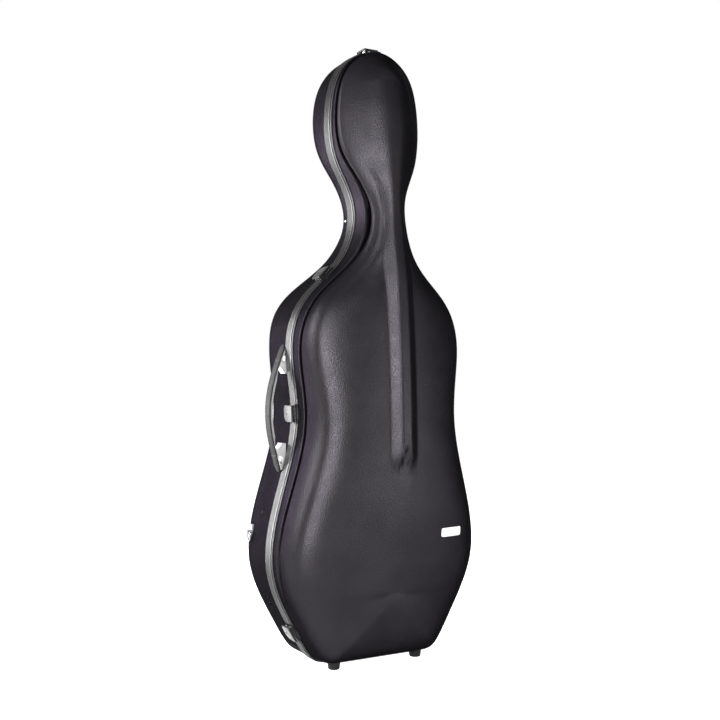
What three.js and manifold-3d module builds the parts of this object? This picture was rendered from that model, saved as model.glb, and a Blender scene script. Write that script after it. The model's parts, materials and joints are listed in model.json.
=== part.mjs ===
// Hard case for a cello: two moulded half shells that meet at a metal rim, hinged down one side.
// Millimetres, +Z up. X runs across the case, and Y runs from the lid in front to the base behind.
// The two halves part at y = 0, and the case stands on its four rubber feet at z = 0.
import * as THREE from 'three';
import Module from 'manifold-3d';
import { mergeVertices } from 'three/addons/utils/BufferGeometryUtils.js';

const wasm = await Module();
wasm.setup();

// The case's own sizes
const CASE_HEIGHT = 1350;
const HEAD_WIDTH = 218;
const NECK_WIDTH = 90;
const UPPER_BOUT_WIDTH = 406;
const WAIST_WIDTH = 378;
const LOWER_BOUT_WIDTH = 500;
const BASE_DEPTH = 150;
const LID_SIDE_DEPTH = 90;
const LID_CROWN_DEPTH = 136;
const WALL = 3;
const LINING = 9;
const GAP = 0.3;

// The lid's mouldings
const EDGE_ROUND = 50;
const BAND_DEPTH = 27;
const GROOVE_DEPTH = 5;
const GROOVE_WIDTH = 8;
const RIDGE_HEIGHT = 14;
const RIDGE_HALF_WIDTH = 33;
const BASE_ROUND = 44;
const BASE_CROWN = 7;
const DRAFT = 0.06;

// The rim
const RIM_HALF_GAP = 1.2;
const RIM_WEB = 1.8;
const RIM_FLANGE = 24;
const RIM_PROUD = 1.4;
const RIM_LIP = 1.2;
const RIM_INNER = 11;
const SEAL_WIDTH = 3;

// Fittings
const LATCH_WIDTH = 36;
const LATCH_LENGTH = 40;
const LATCH_NOSE = 4;
const LATCH_SKIN = 1.6;
const BAIL_WIRE = 2.6;
const PIN_RADIUS = 1.6;
const HINGE_LENGTH = 56;
const HINGE_STANDOFF = 10;
const KNUCKLE_RADIUS = 4.8;
const LEAF_THICKNESS = 2;
const HANDLE_SPAN = 276;
const HANDLE_RISE = 33;
const HANDLE_WIDTH = 21;
const HANDLE_THICKNESS = 3.6;
const GRIP_SPAN = 165;
const GRIP_THICKNESS = 6;
const STRAP_RING_WIDTH = 30;
const STRAP_WIRE = 4;
const FOOT_HEIGHT = 18;
const FOOT_RADIUS = 14;

// Padding and bow holders
const PAD_THICKNESS = 24;
const PAD_HEIGHT = 130;
const CRADLE_HEIGHT = 70;
const CELLO_NECK_WIDTH = 36;
const STRAP_THICKNESS = 3;
const BOW_BUTTON_RADIUS = 13;
const BOW_BUTTON_THICKNESS = 4;

// How finely the long curves are stepped
const STATIONS = 64;
const ROUND_STEPS = 12;
const PIN_STEPS = 8;

// The outline's control net, from the top of the head down one side to the middle of the bottom:
// the width each point belongs to, its share of half that width, and its share of the height.
const OUTLINE_SHARES = [
  [HEAD_WIDTH, 0, 1.004], [HEAD_WIDTH, 0.53, 0.987], [HEAD_WIDTH, 0.92, 0.951],
  [HEAD_WIDTH, 1.045, 0.876], [HEAD_WIDTH, 0.92, 0.81], [NECK_WIDTH, 0.67, 0.746],
  [NECK_WIDTH, 1.33, 0.648], [UPPER_BOUT_WIDTH, 0.9, 0.591], [UPPER_BOUT_WIDTH, 1.07, 0.503],
  [WAIST_WIDTH, 0.913, 0.39], [LOWER_BOUT_WIDTH, 0.92, 0.268], [LOWER_BOUT_WIDTH, 1.07, 0.15],
  [LOWER_BOUT_WIDTH, 0.78, 0.057], [LOWER_BOUT_WIDTH, 0.6, 0.001], [LOWER_BOUT_WIDTH, 0.46, 0],
  [LOWER_BOUT_WIDTH, 0.24, 0], [LOWER_BOUT_WIDTH, 0, 0],
];

// Depths along the case: the share of the height, then the share of the named depth there.
const BASE_DEPTH_SHARES = [[0, 0.9], [0.1, 0.94], [0.23, 1.01], [0.37, 0.98], [0.5, 0.94],
  [0.6, 0.98], [0.66, 0.66], [0.71, 0.47], [0.77, 0.52], [0.85, 0.7], [0.93, 0.74], [1, 0.56]];
const LID_SIDE_SHARES = [[0, 0.82], [0.1, 0.82], [0.23, 0.97], [0.37, 1.05], [0.5, 0.89],
  [0.62, 0.93], [0.7, 1.04], [0.77, 0.82], [0.85, 0.54], [0.93, 0.46], [1, 0.46]];
const LID_CROWN_SHARES = [[0, 0.62], [0.1, 0.8], [0.23, 0.95], [0.34, 1], [0.5, 0.93],
  [0.62, 0.83], [0.7, 0.74], [0.77, 0.71], [0.85, 0.72], [0.92, 0.66], [1, 0.45]];
const BAND_SHARES = [[0, 0.6], [0.14, 0.66], [0.3, 1], [0.5, 0.95], [0.62, 1.2], [0.7, 1.6],
  [0.77, 1.3], [0.84, 0.6], [1, 0.45]];
const GROOVE_FADE_SHARES = [[0, 0], [0.1, 0], [0.22, 1], [0.9, 1], [0.97, 0.3], [1, 0]];
const GROOVE_WIDTH_SHARES = [[0, 1], [0.5, 1], [0.62, 1.5], [0.7, 2], [0.78, 1.5], [0.85, 0.9],
  [1, 0.8]];
const RIDGE_SHARES = [[0, 0], [0.29, 0], [0.335, 0.95], [0.4, 1], [0.66, 1], [0.76, 0.4],
  [0.84, 0], [1, 0]];
const SPINE_SHARES = [0.11, 0.945];

// The sections' own shares: turns of the rolled edges as shares of half a turn and of each other,
// places of the rings between edge and spine, and the powers that the domes fall with.
const LID_FORM_SHARES = {
  lastTurn: 0.361, midTurn: 0.45, ridgeFoot: 0.7, dome: [0.62, 0.3], ridge: [1, 0.7, 0.36, 0],
  domePower: 1.7, ridgePower: 1.6,
};
const BASE_FORM_SHARES = { turns: [0, 0.15, 0.3, 0.42], back: [0.6, 0.25, 0], backPower: 2.4 };

// The fittings' own shares of the sizes that they follow
const LATCH_SHARES = { bail: 1.4, plate: 0.8, ear: 0.7, chamfer: 0.2, boss: 0.8 };
const LEAF_SHARES = { near: 1.4, plate: 1.6, back: 4.4 };
const RING_SHARES = { tall: 0.6, drop: 0.5, floor: 1.33, mitre: 0.6 };
const FOOT_SHARES = { bevel: 0.14, lid: [0.22, 0.34], base: [0.13, 0.5] };
const GRIP_SHARES = { width: 0.9, valley: 0.8, taper: 0.6, end: 0.04 };
const TONGUE_SHARES = [[0, 0.55], [0.015, 0.86], [0.045, 1]];
const CUSHION_SHARES = { low: 0.2, deep: 0.55, upper: 0.5, lower: 0.17, swell: 0.16 };
const CRADLE_SHARES = { up: 0.752, strap: 0.34 };
const END_BLOCK_SHARES = { half: 0.16, low: 0.16, high: 0.72, socket: 0.44 };

const bottom = FOOT_HEIGHT;
const shareAt = (z) => (z - bottom) / CASE_HEIGHT;
const heightAt = (share) => bottom + share * CASE_HEIGHT;
const FORWARD = new THREE.Vector3(0, -1, 0);

// A smooth curve through a table of shares, with the slope at each row taken from its neighbours.
function along(table, share) {
  const last = table.length - 1;
  let k = 0;
  while (k < last - 1 && share > table[k + 1][0]) k += 1;
  const slope = (i) => {
    const before = table[Math.max(i - 1, 0)];
    const after = table[Math.min(i + 1, last)];
    return (after[1] - before[1]) / (after[0] - before[0]);
  };
  const span = table[k + 1][0] - table[k][0];
  const t = THREE.MathUtils.clamp((share - table[k][0]) / span, 0, 1);
  const rise = t * t * (3 - 2 * t);
  const entry = t * (1 - t) * (1 - t) * span * slope(k);
  const exit = t * t * (t - 1) * span * slope(k + 1);
  return table[k][1] + (table[k + 1][1] - table[k][1]) * rise + entry + exit;
}

// The outline is a uniform cubic B-spline on the net, mirrored past the middle at both ends.
function netPoint(index) {
  const last = OUTLINE_SHARES.length - 1;
  const mirrored = index < 0 || index > last;
  const [width, across, up] = OUTLINE_SHARES[last - Math.abs(last - Math.abs(index))];
  return new THREE.Vector2((mirrored ? -1 : 1) * across * width / 2, heightAt(up));
}

function outlineAt(u) {
  const k = Math.floor(u);
  const t = u - k;
  const weights = [(1 - t) ** 3, 3 * t ** 3 - 6 * t * t + 4, -3 * t ** 3 + 3 * t * t + 3 * t + 1, t ** 3];
  const point = new THREE.Vector2();
  weights.forEach((weight, i) => point.addScaledVector(netPoint(k - 1 + i), weight / 6));
  return point;
}

// Stations run once round the case. Each knows its inward direction and the nearest spine point.
function makeStations() {
  const spans = OUTLINE_SHARES.length - 1;
  const half = STATIONS / 2;
  const [spineLow, spineHigh] = SPINE_SHARES.map(heightAt);
  const side = [];
  for (let k = 0; k <= half; k += 1) {
    const u = k * spans / half;
    const point = outlineAt(u);
    const ahead = outlineAt(u + 1 / half).sub(outlineAt(u - 1 / half)).normalize();
    const inward = new THREE.Vector2(ahead.y, -ahead.x);
    if (k === 0 || k === half) point.x = inward.x = 0;
    inward.normalize();
    const spine = new THREE.Vector2(0, THREE.MathUtils.clamp(point.y, spineLow, spineHigh));
    side.push({ point, inward, spine, reach: point.distanceTo(spine), share: shareAt(point.y) });
  }
  const mirror = (v) => new THREE.Vector2(-v.x, v.y);
  const otherSide = side.slice(1, half).reverse().map((s) => ({
    ...s, point: mirror(s.point), inward: mirror(s.inward),
  }));
  return [...side, ...otherSide];
}

const stations = makeStations();

// A point of the rim's section: its distance outside the outline and its place front to back.
function ringAt(outward, y) {
  return stations.map((s) => {
    const p = s.point.clone().addScaledVector(s.inward, -outward);
    return new THREE.Vector3(p.x, y, p.y);
  });
}

// One ring of a half shell from an inward distance and a depth at each station.
function ringFrom(depthSign, rowAt) {
  return stations.map((s) => {
    const { inward, depth } = rowAt(s);
    const p = s.point.clone().addScaledVector(s.inward, inward);
    return new THREE.Vector3(p.x, depthSign * depth, p.y);
  });
}

const easeOf = (s) => s.reach / Math.hypot(s.reach, EDGE_ROUND);

// The inner rings run from the rounded edge to the spine, on every second station and each narrow one.
const innerStations = stations.map((s, i) => i)
  .filter((i) => i % 2 === 0 || stations[i].reach < NECK_WIDTH);

function innerRing(edgeRing, depthSign, distanceAt, depthAt) {
  return innerStations.map((i) => {
    const s = stations[i];
    const edge = new THREE.Vector2(edgeRing[i].x, edgeRing[i].z);
    const reach = edge.distanceTo(s.spine);
    const distance = distanceAt(reach);
    const p = s.spine.clone().lerp(edge, distance / reach);
    const depth = depthAt(s, distance, reach, Math.abs(edgeRing[i].y));
    return new THREE.Vector3(p.x, depthSign * depth, p.y);
  });
}

// The lid: a side band, a groove, a rounded lip, a domed front and a raised ridge down the middle.
const lidLipStart = (s) => {
  const groove = GROOVE_WIDTH * along(GROOVE_WIDTH_SHARES, s.share);
  return BAND_DEPTH * along(BAND_SHARES, s.share) + groove + GROOVE_DEPTH;
};

function lidRings(setBack) {
  const band = (s) => BAND_DEPTH * along(BAND_SHARES, s.share);
  const fade = (s) => Math.max(0, along(GROOVE_FADE_SHARES, s.share)) * GROOVE_DEPTH;
  const sideDepth = (s) => LID_SIDE_DEPTH * along(LID_SIDE_SHARES, s.share);
  const lipInset = GROOVE_DEPTH / 2;
  const lastTurn = Math.PI * LID_FORM_SHARES.lastTurn;
  const turned = (turn) => (s) => {
    const start = lidLipStart(s);
    const radius = EDGE_ROUND * easeOf(s);
    const rise = (sideDepth(s) - start) / Math.sin(lastTurn);
    return { inward: lipInset + radius * (1 - Math.cos(turn)), depth: start + rise * Math.sin(turn) };
  };
  const floorStart = (s) => ({ inward: lipInset + fade(s), depth: band(s) + GROOVE_DEPTH / 2 });
  const floorEnd = (s) => ({ inward: lipInset + fade(s), depth: lidLipStart(s) - GROOVE_DEPTH / 2 });
  const rings = [
    () => ({ inward: 0, depth: setBack }),
    (s) => ({ inward: lipInset * band(s) / lidLipStart(s), depth: band(s) }),
    floorStart, floorEnd, turned(0), turned(lastTurn * LID_FORM_SHARES.midTurn), turned(lastTurn),
  ].map((rowAt) => ringFrom(-1, rowAt));
  const edge = rings[rings.length - 1];
  const ridgeFoot = (reach) => Math.min(RIDGE_HALF_WIDTH, reach * LID_FORM_SHARES.ridgeFoot);
  const depthAt = (s, distance, reach, edgeDepth) => {
    const spineShare = shareAt(s.spine.y);
    const crown = LID_CROWN_DEPTH * along(LID_CROWN_SHARES, spineShare);
    const dome = 1 - (distance / reach) ** LID_FORM_SHARES.domePower;
    const across = Math.min(1, distance / ridgeFoot(reach));
    const ridge = RIDGE_HEIGHT * Math.max(0, along(RIDGE_SHARES, spineShare));
    const flank = (1 + Math.cos(Math.PI * across ** LID_FORM_SHARES.ridgePower)) / 2;
    return edgeDepth + (crown - edgeDepth) * dome + ridge * flank;
  };
  LID_FORM_SHARES.dome.forEach((share) => {
    const distanceAt = (reach) => ridgeFoot(reach) + (reach - ridgeFoot(reach)) * share;
    rings.push(innerRing(edge, -1, distanceAt, depthAt));
  });
  LID_FORM_SHARES.ridge.forEach((share) => {
    rings.push(innerRing(edge, -1, (reach) => ridgeFoot(reach) * share, depthAt));
  });
  return rings;
}

// The base: drawn side walls, a wide rounding and a gently crowned back.
function baseRings(setBack) {
  const depthOf = (s) => BASE_DEPTH * along(BASE_DEPTH_SHARES, s.share);
  const radiusOf = (s) => BASE_ROUND * easeOf(s);
  const turned = (turn) => (s) => {
    const straight = depthOf(s) - radiusOf(s);
    const inward = DRAFT * straight + radiusOf(s) * (1 - Math.cos(turn));
    return { inward, depth: straight + radiusOf(s) * Math.sin(turn) };
  };
  const rings = [ringFrom(1, () => ({ inward: DRAFT * setBack, depth: setBack }))];
  BASE_FORM_SHARES.turns.forEach((share) => rings.push(ringFrom(1, turned(share * Math.PI))));
  const edge = rings[rings.length - 1];
  const depthAt = (s, distance, reach, edgeDepth) => {
    const middle = BASE_DEPTH * along(BASE_DEPTH_SHARES, shareAt(s.spine.y)) + BASE_CROWN;
    return middle + (edgeDepth - middle) * (distance / reach) ** BASE_FORM_SHARES.backPower;
  };
  BASE_FORM_SHARES.back.forEach((share) => {
    rings.push(innerRing(edge, 1, (reach) => reach * share, depthAt));
  });
  return rings;
}

// Makes one closed body from triangles given as triples of points.
function bodyFrom(triangles) {
  const positions = [];
  let volume = 0;
  triangles.forEach(([a, b, c]) => {
    volume += a.dot(new THREE.Vector3().crossVectors(b, c));
  });
  triangles.forEach(([a, b, c]) => {
    const order = volume > 0 ? [a, b, c] : [a, c, b];
    order.forEach((p) => positions.push(p.x, p.y, p.z));
  });
  const geometry = new THREE.BufferGeometry();
  geometry.setAttribute('position', new THREE.Float32BufferAttribute(positions, 3));
  return dropSlivers(mergeVertices(geometry, 1e-4));
}

function dropSlivers(geometry) {
  const index = geometry.getIndex().array;
  const kept = [];
  for (let i = 0; i < index.length; i += 3) {
    const [a, b, c] = [index[i], index[i + 1], index[i + 2]];
    if (a !== b && b !== c && c !== a) kept.push(a, b, c);
  }
  geometry.setIndex(kept);
  return geometry;
}

// Joins each ring to the next. A ring holds the same points as the last, or only the inner stations'.
function loft(rings) {
  const triangles = [];
  for (let r = 0; r + 1 < rings.length; r += 1) {
    const [a, b] = [rings[r], rings[r + 1]];
    const steps = Math.min(a.length, b.length);
    const cornersOf = (ring, i) => {
      if (ring.length === steps) return [ring[i], ring[(i + 1) % steps]];
      const corners = [];
      const to = i + 1 < steps ? innerStations[i + 1] : ring.length;
      for (let k = innerStations[i]; k <= to; k += 1) corners.push(ring[k % ring.length]);
      return corners;
    };
    for (let i = 0; i < steps; i += 1) {
      const [onA, onB] = [cornersOf(a, i), cornersOf(b, i)];
      const fan = [...onA, ...onB.slice().reverse()];
      const hub = onB.length > onA.length ? fan.length - 2 : 1;
      const turned = [...fan.slice(hub), ...fan.slice(0, hub)];
      for (let k = 1; k + 1 < turned.length; k += 1) triangles.push([turned[0], turned[k], turned[k + 1]]);
    }
  }
  return triangles;
}

// Moves a half shell's rings inward along its surface normals. The rim ring stays in its plane.
function sunk(rings, distance) {
  const geometry = bodyFrom(loft(rings));
  geometry.computeVertexNormals();
  const position = geometry.getAttribute('position');
  const normal = geometry.getAttribute('normal');
  const keyOf = (v) => [v.x, v.y, v.z].map((n) => Math.fround(n).toFixed(3)).join(' ');
  const normals = new Map();
  for (let i = 0; i < position.count; i += 1) {
    const p = new THREE.Vector3().fromBufferAttribute(position, i);
    normals.set(keyOf(p), new THREE.Vector3().fromBufferAttribute(normal, i));
  }
  const crest = rings[rings.length - 1][0];
  const turn = Math.sign(normals.get(keyOf(crest)).y * crest.y);
  return rings.map((ring, r) => ring.map((p, i) => {
    const { inward } = stations[i];
    const n = r === 0 ? new THREE.Vector3(-inward.x, 0, -inward.y) : normals.get(keyOf(p));
    return p.clone().addScaledVector(n, -distance * (r === 0 ? 1 : turn));
  }));
}

// A hollow half shell between two sets of rings, open at the rim.
function hollow(outer, inner) {
  const insideOut = loft(inner).map(([a, b, c]) => [a, c, b]);
  return bodyFrom([...loft([inner[0], ...outer]), ...insideOut]);
}

// The whole space inside a set of rings, closed across the rim.
function filled(rings) {
  const y = rings[0][0].y;
  const across = stations.map((s) => new THREE.Vector3(s.spine.x, y, s.spine.y));
  return bodyFrom(loft([across, ...rings]));
}

// A closed ring round the whole case with the given section of [outward, y] points.
function rimRing(section) {
  const rings = section.map(([outward, y]) => ringAt(outward, y));
  return bodyFrom(loft([...rings, rings[0]]));
}

function baseRimOutside(grow) {
  const back = RIM_HALF_GAP + grow;
  const proud = GAP + RIM_PROUD + grow;
  return [
    [proud + RIM_LIP, RIM_HALF_GAP - grow], [proud + RIM_LIP, back + 2 * RIM_LIP],
    [proud, back + 3 * RIM_LIP], [proud, back + RIM_FLANGE],
  ];
}

function lidRimOutside(grow) {
  const proud = GAP + RIM_WEB + grow;
  return [[proud, grow - RIM_HALF_GAP], [proud, -RIM_HALF_GAP - RIM_WEB - 2 * RIM_LIP - grow]];
}

// The channel behind the outside face: round the shell's edge and along its inner wall.
function rimSection(outside, side) {
  const front = outside[0][1];
  const back = outside[outside.length - 1][1];
  const behindWeb = front + side * RIM_WEB;
  const inner = -WALL - GAP - 2 * DRAFT * RIM_INNER;
  return [
    ...outside, [GAP, back], [GAP, behindWeb], [inner, behindWeb],
    [inner, side * RIM_INNER], [inner - RIM_WEB, side * RIM_INNER], [inner - RIM_WEB, front],
  ];
}

// The rim's outside as a solid that reaches into the shell's wall, for seating the fittings.
function rimBulk(outside) {
  const back = outside[outside.length - 1][1];
  return rimRing([...outside, [-WALL, back], [-WALL, outside[0][1]]]);
}

// Booleans on closed geometry
function toManifold(geometry) {
  const plain = geometry.clone();
  plain.deleteAttribute('normal');
  plain.deleteAttribute('uv');
  const merged = mergeVertices(plain, 1e-4);
  return new wasm.Manifold(new wasm.Mesh({
    numProp: 3,
    vertProperties: new Float32Array(merged.getAttribute('position').array),
    triVerts: new Uint32Array(merged.getIndex().array),
  }));
}

function fromManifold(solid) {
  const mesh = solid.getMesh();
  const geometry = new THREE.BufferGeometry();
  geometry.setAttribute('position', new THREE.BufferAttribute(mesh.vertProperties, 3));
  geometry.setIndex(new THREE.BufferAttribute(mesh.triVerts, 1));
  return geometry;
}

const joined = (...pieces) => fromManifold(pieces.map(toManifold).reduce((a, b) => a.add(b)));
const cut = (piece, ...tools) => fromManifold(
  tools.map(toManifold).reduce((a, b) => a.subtract(b), toManifold(piece)),
);
const common = (a, b) => fromManifold(toManifold(a).intersect(toManifold(b)));

// Plain building forms
function box(low, high) {
  const size = high.map((h, i) => h - low[i]);
  const middle = high.map((h, i) => (h + low[i]) / 2);
  return new THREE.BoxGeometry(...size).translate(...middle);
}

function shapeOf(points) {
  return new THREE.Shape(points.map(([x, y]) => new THREE.Vector2(x, y)));
}

// A section in the frame's first two axes, extruded between two places on the third.
function prism(shape, from, to) {
  return new THREE.ExtrudeGeometry(shape, {
    depth: to - from, bevelEnabled: false, curveSegments: ROUND_STEPS / 2,
  }).translate(0, 0, from);
}

function rod(x, y, radius, from, to) {
  const length = to - from;
  const steps = radius > 2 * PIN_RADIUS ? ROUND_STEPS : PIN_STEPS;
  return new THREE.CylinderGeometry(radius, radius, length, steps)
    .rotateX(Math.PI / 2).translate(x, y, (from + to) / 2);
}

function disc(x, y, radius) {
  const shape = new THREE.Shape();
  shape.absarc(x, y, radius, 0, 2 * Math.PI, false);
  return shape;
}

// A right-handed frame: x out of the case, y given, z along the third direction.
function frameOf(origin, xAxis, yAxis) {
  const zAxis = new THREE.Vector3().crossVectors(xAxis, yAxis).normalize();
  const square = new THREE.Vector3().crossVectors(zAxis, xAxis).normalize();
  return new THREE.Matrix4().makeBasis(xAxis.clone().normalize(), square, zAxis).setPosition(origin);
}

// The rim's frame at a height on one side: x outward, y forward, z along the outline.
function rimFrame(side, height) {
  const half = stations.slice(0, STATIONS / 2 + 1);
  const upward = new THREE.Vector3(0, 0, 1);
  if (side === 0) return frameOf(new THREE.Vector3(0, 0, half[0].point.y), upward, FORWARD);
  let k = 0;
  while (k < half.length - 2 && half[k + 1].point.y > height) k += 1;
  const [a, b] = [half[k], half[k + 1]];
  const t = (height - a.point.y) / (b.point.y - a.point.y);
  const p = a.point.clone().lerp(b.point, t);
  const chord = b.point.clone().sub(a.point).normalize();
  return frameOf(
    new THREE.Vector3(side * p.x, 0, p.y), new THREE.Vector3(-side * chord.y, 0, chord.x), FORWARD,
  );
}

// Where a ray from a point first meets a surface, with the surface's normal turned to face the ray.
function meet(geometry, from, direction) {
  const mesh = new THREE.Mesh(geometry, new THREE.MeshBasicMaterial({ side: THREE.DoubleSide }));
  const hit = new THREE.Raycaster(from, direction.clone().normalize()).intersectObject(mesh)[0];
  const normal = hit.face.normal.clone();
  if (normal.dot(direction) > 0) normal.negate();
  return { point: hit.point, normal };
}

const part = new THREE.Group();

function addPiece(name, geometry, [color, roughness, metalness], frame = new THREE.Matrix4()) {
  const mesh = new THREE.Mesh(geometry, new THREE.MeshStandardMaterial({ color, roughness, metalness }));
  mesh.name = name;
  mesh.applyMatrix4(frame);
  part.add(mesh);
  return mesh;
}

// Cuts a piece drawn in its own frame where the case stands in its way, so that it seats there.
function seated(geometry, frame, envelope) {
  const placed = cut(geometry.clone().applyMatrix4(frame), envelope);
  return placed.applyMatrix4(frame.clone().invert());
}

const SHELL_FINISH = [0x2e2a31, 0.45, 0];
const METAL_FINISH = [0xb4b3b6, 0.32, 0.9];
const BRIGHT_FINISH = [0xd8d8da, 0.25, 0.95];
const BLACK_METAL_FINISH = [0x1d1b1e, 0.4, 0.6];
const RUBBER_FINISH = [0x121014, 0.8, 0];
const GREY_FINISH = [0x8a898c, 0.5, 0.2];
const PLUSH_FINISH = [0x3a3c42, 0.95, 0];

// Half shells and their linings
const baseOuter = baseRings(RIM_HALF_GAP + RIM_WEB + GAP);
const lidOuter = lidRings(RIM_HALF_GAP + RIM_WEB + GAP);
const baseSkin = sunk(baseOuter, WALL);
const lidSkin = sunk(lidOuter, WALL);
const baseShell = hollow(baseOuter, baseSkin);
const lidShell = hollow(lidOuter, lidSkin);
addPiece('base_shell', baseShell, SHELL_FINISH);
addPiece('lid_shell', lidShell, SHELL_FINISH);

// The linings follow the shells' inner faces from the rim inward. The lid's passes under its groove.
const liningStart = RIM_INNER + GAP;
const startRing = (ring, sign) => ring.map((p) => new THREE.Vector3(p.x, sign * liningStart, p.z));
const [, , , grooveFloor, ...lidFront] = lidSkin;
const baseBack = sunk([startRing(baseSkin[1], 1), ...baseSkin.slice(1)], GAP);
const [lidStart, ...lidRest] = sunk([startRing(grooveFloor, -1), grooveFloor, ...lidFront], 2 * GAP);
const lidBack = [lidStart, ...lidRest.map((ring) => ring.map((p) => p.addScaledVector(FORWARD, GAP)))];
const baseInside = sunk(baseBack.filter((ring, r) => r !== 2 && r !== 6), LINING);
const lidInside = sunk(lidBack.filter((ring, r) => r !== 2 && r !== 6 && r !== 8), LINING);
const baseLining = hollow(baseBack, baseInside);
const lidLining = hollow(lidBack, lidInside);
addPiece('base_lining', baseLining, PLUSH_FINISH);
addPiece('lid_lining', lidLining, PLUSH_FINISH);

// Rims and seal
const baseRim = rimRing(rimSection(baseRimOutside(0), 1));
const lidRim = rimRing(rimSection(lidRimOutside(0), -1));
addPiece('base_rim', baseRim, METAL_FINISH);
addPiece('lid_rim', lidRim, BLACK_METAL_FINISH);
const sealFace = RIM_HALF_GAP - GAP;
addPiece('rim_seal', rimRing([
  [-GAP, -sealFace], [-GAP, sealFace], [-GAP - SEAL_WIDTH, sealFace], [-GAP - SEAL_WIDTH, -sealFace],
]), RUBBER_FINISH);

// The space that each half takes up, grown by the gap, for seating the fittings
const baseEnvelope = joined(filled(sunk(baseRings(sealFace), -GAP)), rimBulk(baseRimOutside(GAP)));
const lidEnvelope = joined(filled(sunk(lidRings(sealFace), -GAP)), rimBulk(lidRimOutside(GAP)));

// Draw latches: a bracket on the base, a lever on its pin, a bail on the lever, a keeper on the lid.
// Drawn in the rim's frame: x outward, y forward, z along the outline.
const latchPivot = { x: 2 * LATCH_NOSE + GAP, y: -(RIM_HALF_GAP + LATCH_NOSE + GAP) };
const bailPivot = { x: latchPivot.x - PIN_RADIUS / 3, y: latchPivot.y - LATCH_NOSE * LATCH_SHARES.bail };
const latchTail = { x: latchPivot.x - LATCH_NOSE / 2, y: latchPivot.y - LATCH_LENGTH + LATCH_NOSE };

function latchLever() {
  const half = LATCH_WIDTH / 2;
  const chamfer = LATCH_WIDTH * LATCH_SHARES.chamfer;
  const noseTop = latchPivot.x + LATCH_NOSE;
  const tailTop = latchTail.x;
  const skirt = latchPivot.x - LATCH_NOSE / 3;
  const outer = shapeOf([
    [skirt, latchPivot.y], [noseTop, latchPivot.y], [tailTop, latchTail.y],
    [tailTop - LATCH_SKIN, latchTail.y], [skirt - LATCH_SKIN / 2, latchPivot.y - LATCH_NOSE],
  ]);
  const nose = prism(disc(latchPivot.x, latchPivot.y, LATCH_NOSE), -half, half);
  const slope = (noseTop - tailTop) / (latchPivot.y - latchTail.y);
  const below = noseTop - LATCH_SKIN;
  const floorX = latchPivot.x - 2 * LATCH_NOSE;
  const cavity = shapeOf([
    [floorX, latchPivot.y + 2 * LATCH_NOSE], [floorX, latchTail.y + LATCH_SKIN],
    [below - slope * (latchPivot.y - latchTail.y - LATCH_SKIN), latchTail.y + LATCH_SKIN],
    [below, latchPivot.y],
  ]);
  const inside = half - 2 * LATCH_SKIN;
  const noseCavity = prism(disc(latchPivot.x, latchPivot.y, LATCH_NOSE - LATCH_SKIN), -inside, inside);
  const hollowed = cut(joined(prism(outer, -half, half), nose), prism(cavity, -inside, inside), noseCavity);
  const pinReach = inside + LATCH_SKIN;
  const pinHole = rod(latchPivot.x, latchPivot.y, PIN_RADIUS + GAP, -pinReach, pinReach);
  const bailHole = rod(bailPivot.x, bailPivot.y, PIN_RADIUS, -half - LATCH_SKIN, half + LATCH_SKIN);
  const corners = [-1, 1].map((end) => prism(shapeOf([
    [latchTail.y - LATCH_SKIN, end * (half - chamfer)], [latchTail.y + chamfer, end * (half + LATCH_SKIN)],
    [latchTail.y - LATCH_SKIN, end * (half + LATCH_SKIN)],
  ]), -noseTop, noseTop * 2).applyMatrix4(new THREE.Matrix4().makeBasis(
    new THREE.Vector3(0, 1, 0), new THREE.Vector3(0, 0, 1), new THREE.Vector3(1, 0, 0),
  )));
  return cut(hollowed, pinHole, bailHole, ...corners);
}

function latchBracket() {
  const earOuter = LATCH_WIDTH / 2 - 2 * LATCH_SKIN - 2 * GAP;
  const earInner = earOuter - 2 * LATCH_SKIN;
  const plateTop = GAP + RIM_PROUD + GAP + LATCH_SKIN;
  const plateFront = -(RIM_HALF_GAP + 3 * RIM_LIP + 2 * GAP);
  const earRadius = LATCH_NOSE - LATCH_SKIN - GAP;
  const legFront = latchPivot.y - LATCH_NOSE - 2 * GAP;
  const diagonal = earRadius * LATCH_SHARES.ear;
  const plate = box([-WALL, latchTail.y * LATCH_SHARES.plate, -earOuter], [plateTop, plateFront, earOuter]);
  // Each ear's arm runs back from the pin and its leg stands clear behind the turning nose.
  const ear = shapeOf([
    [0, legFront], [0, legFront - LATCH_NOSE], [plateTop, legFront - 2 * LATCH_NOSE],
    [latchPivot.x + diagonal, latchPivot.y - diagonal], [latchPivot.x, latchPivot.y],
    [latchPivot.x - diagonal, latchPivot.y - diagonal], [latchPivot.x - earRadius, legFront],
  ]);
  const pinReach = earOuter + LATCH_SKIN;
  const pieces = [plate, rod(latchPivot.x, latchPivot.y, PIN_RADIUS, -pinReach, pinReach)];
  [-1, 1].forEach((end) => {
    const [from, to] = [end * earInner, end * earOuter].sort((a, b) => a - b);
    pieces.push(prism(ear, from, to));
    pieces.push(prism(disc(latchPivot.x, latchPivot.y, earRadius), from, to));
  });
  return joined(...pieces);
}

const bailFront = RIM_HALF_GAP + LATCH_SKIN + GAP + BAIL_WIRE;
const bailHeight = GAP + 2 * RIM_WEB + GAP;

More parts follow.
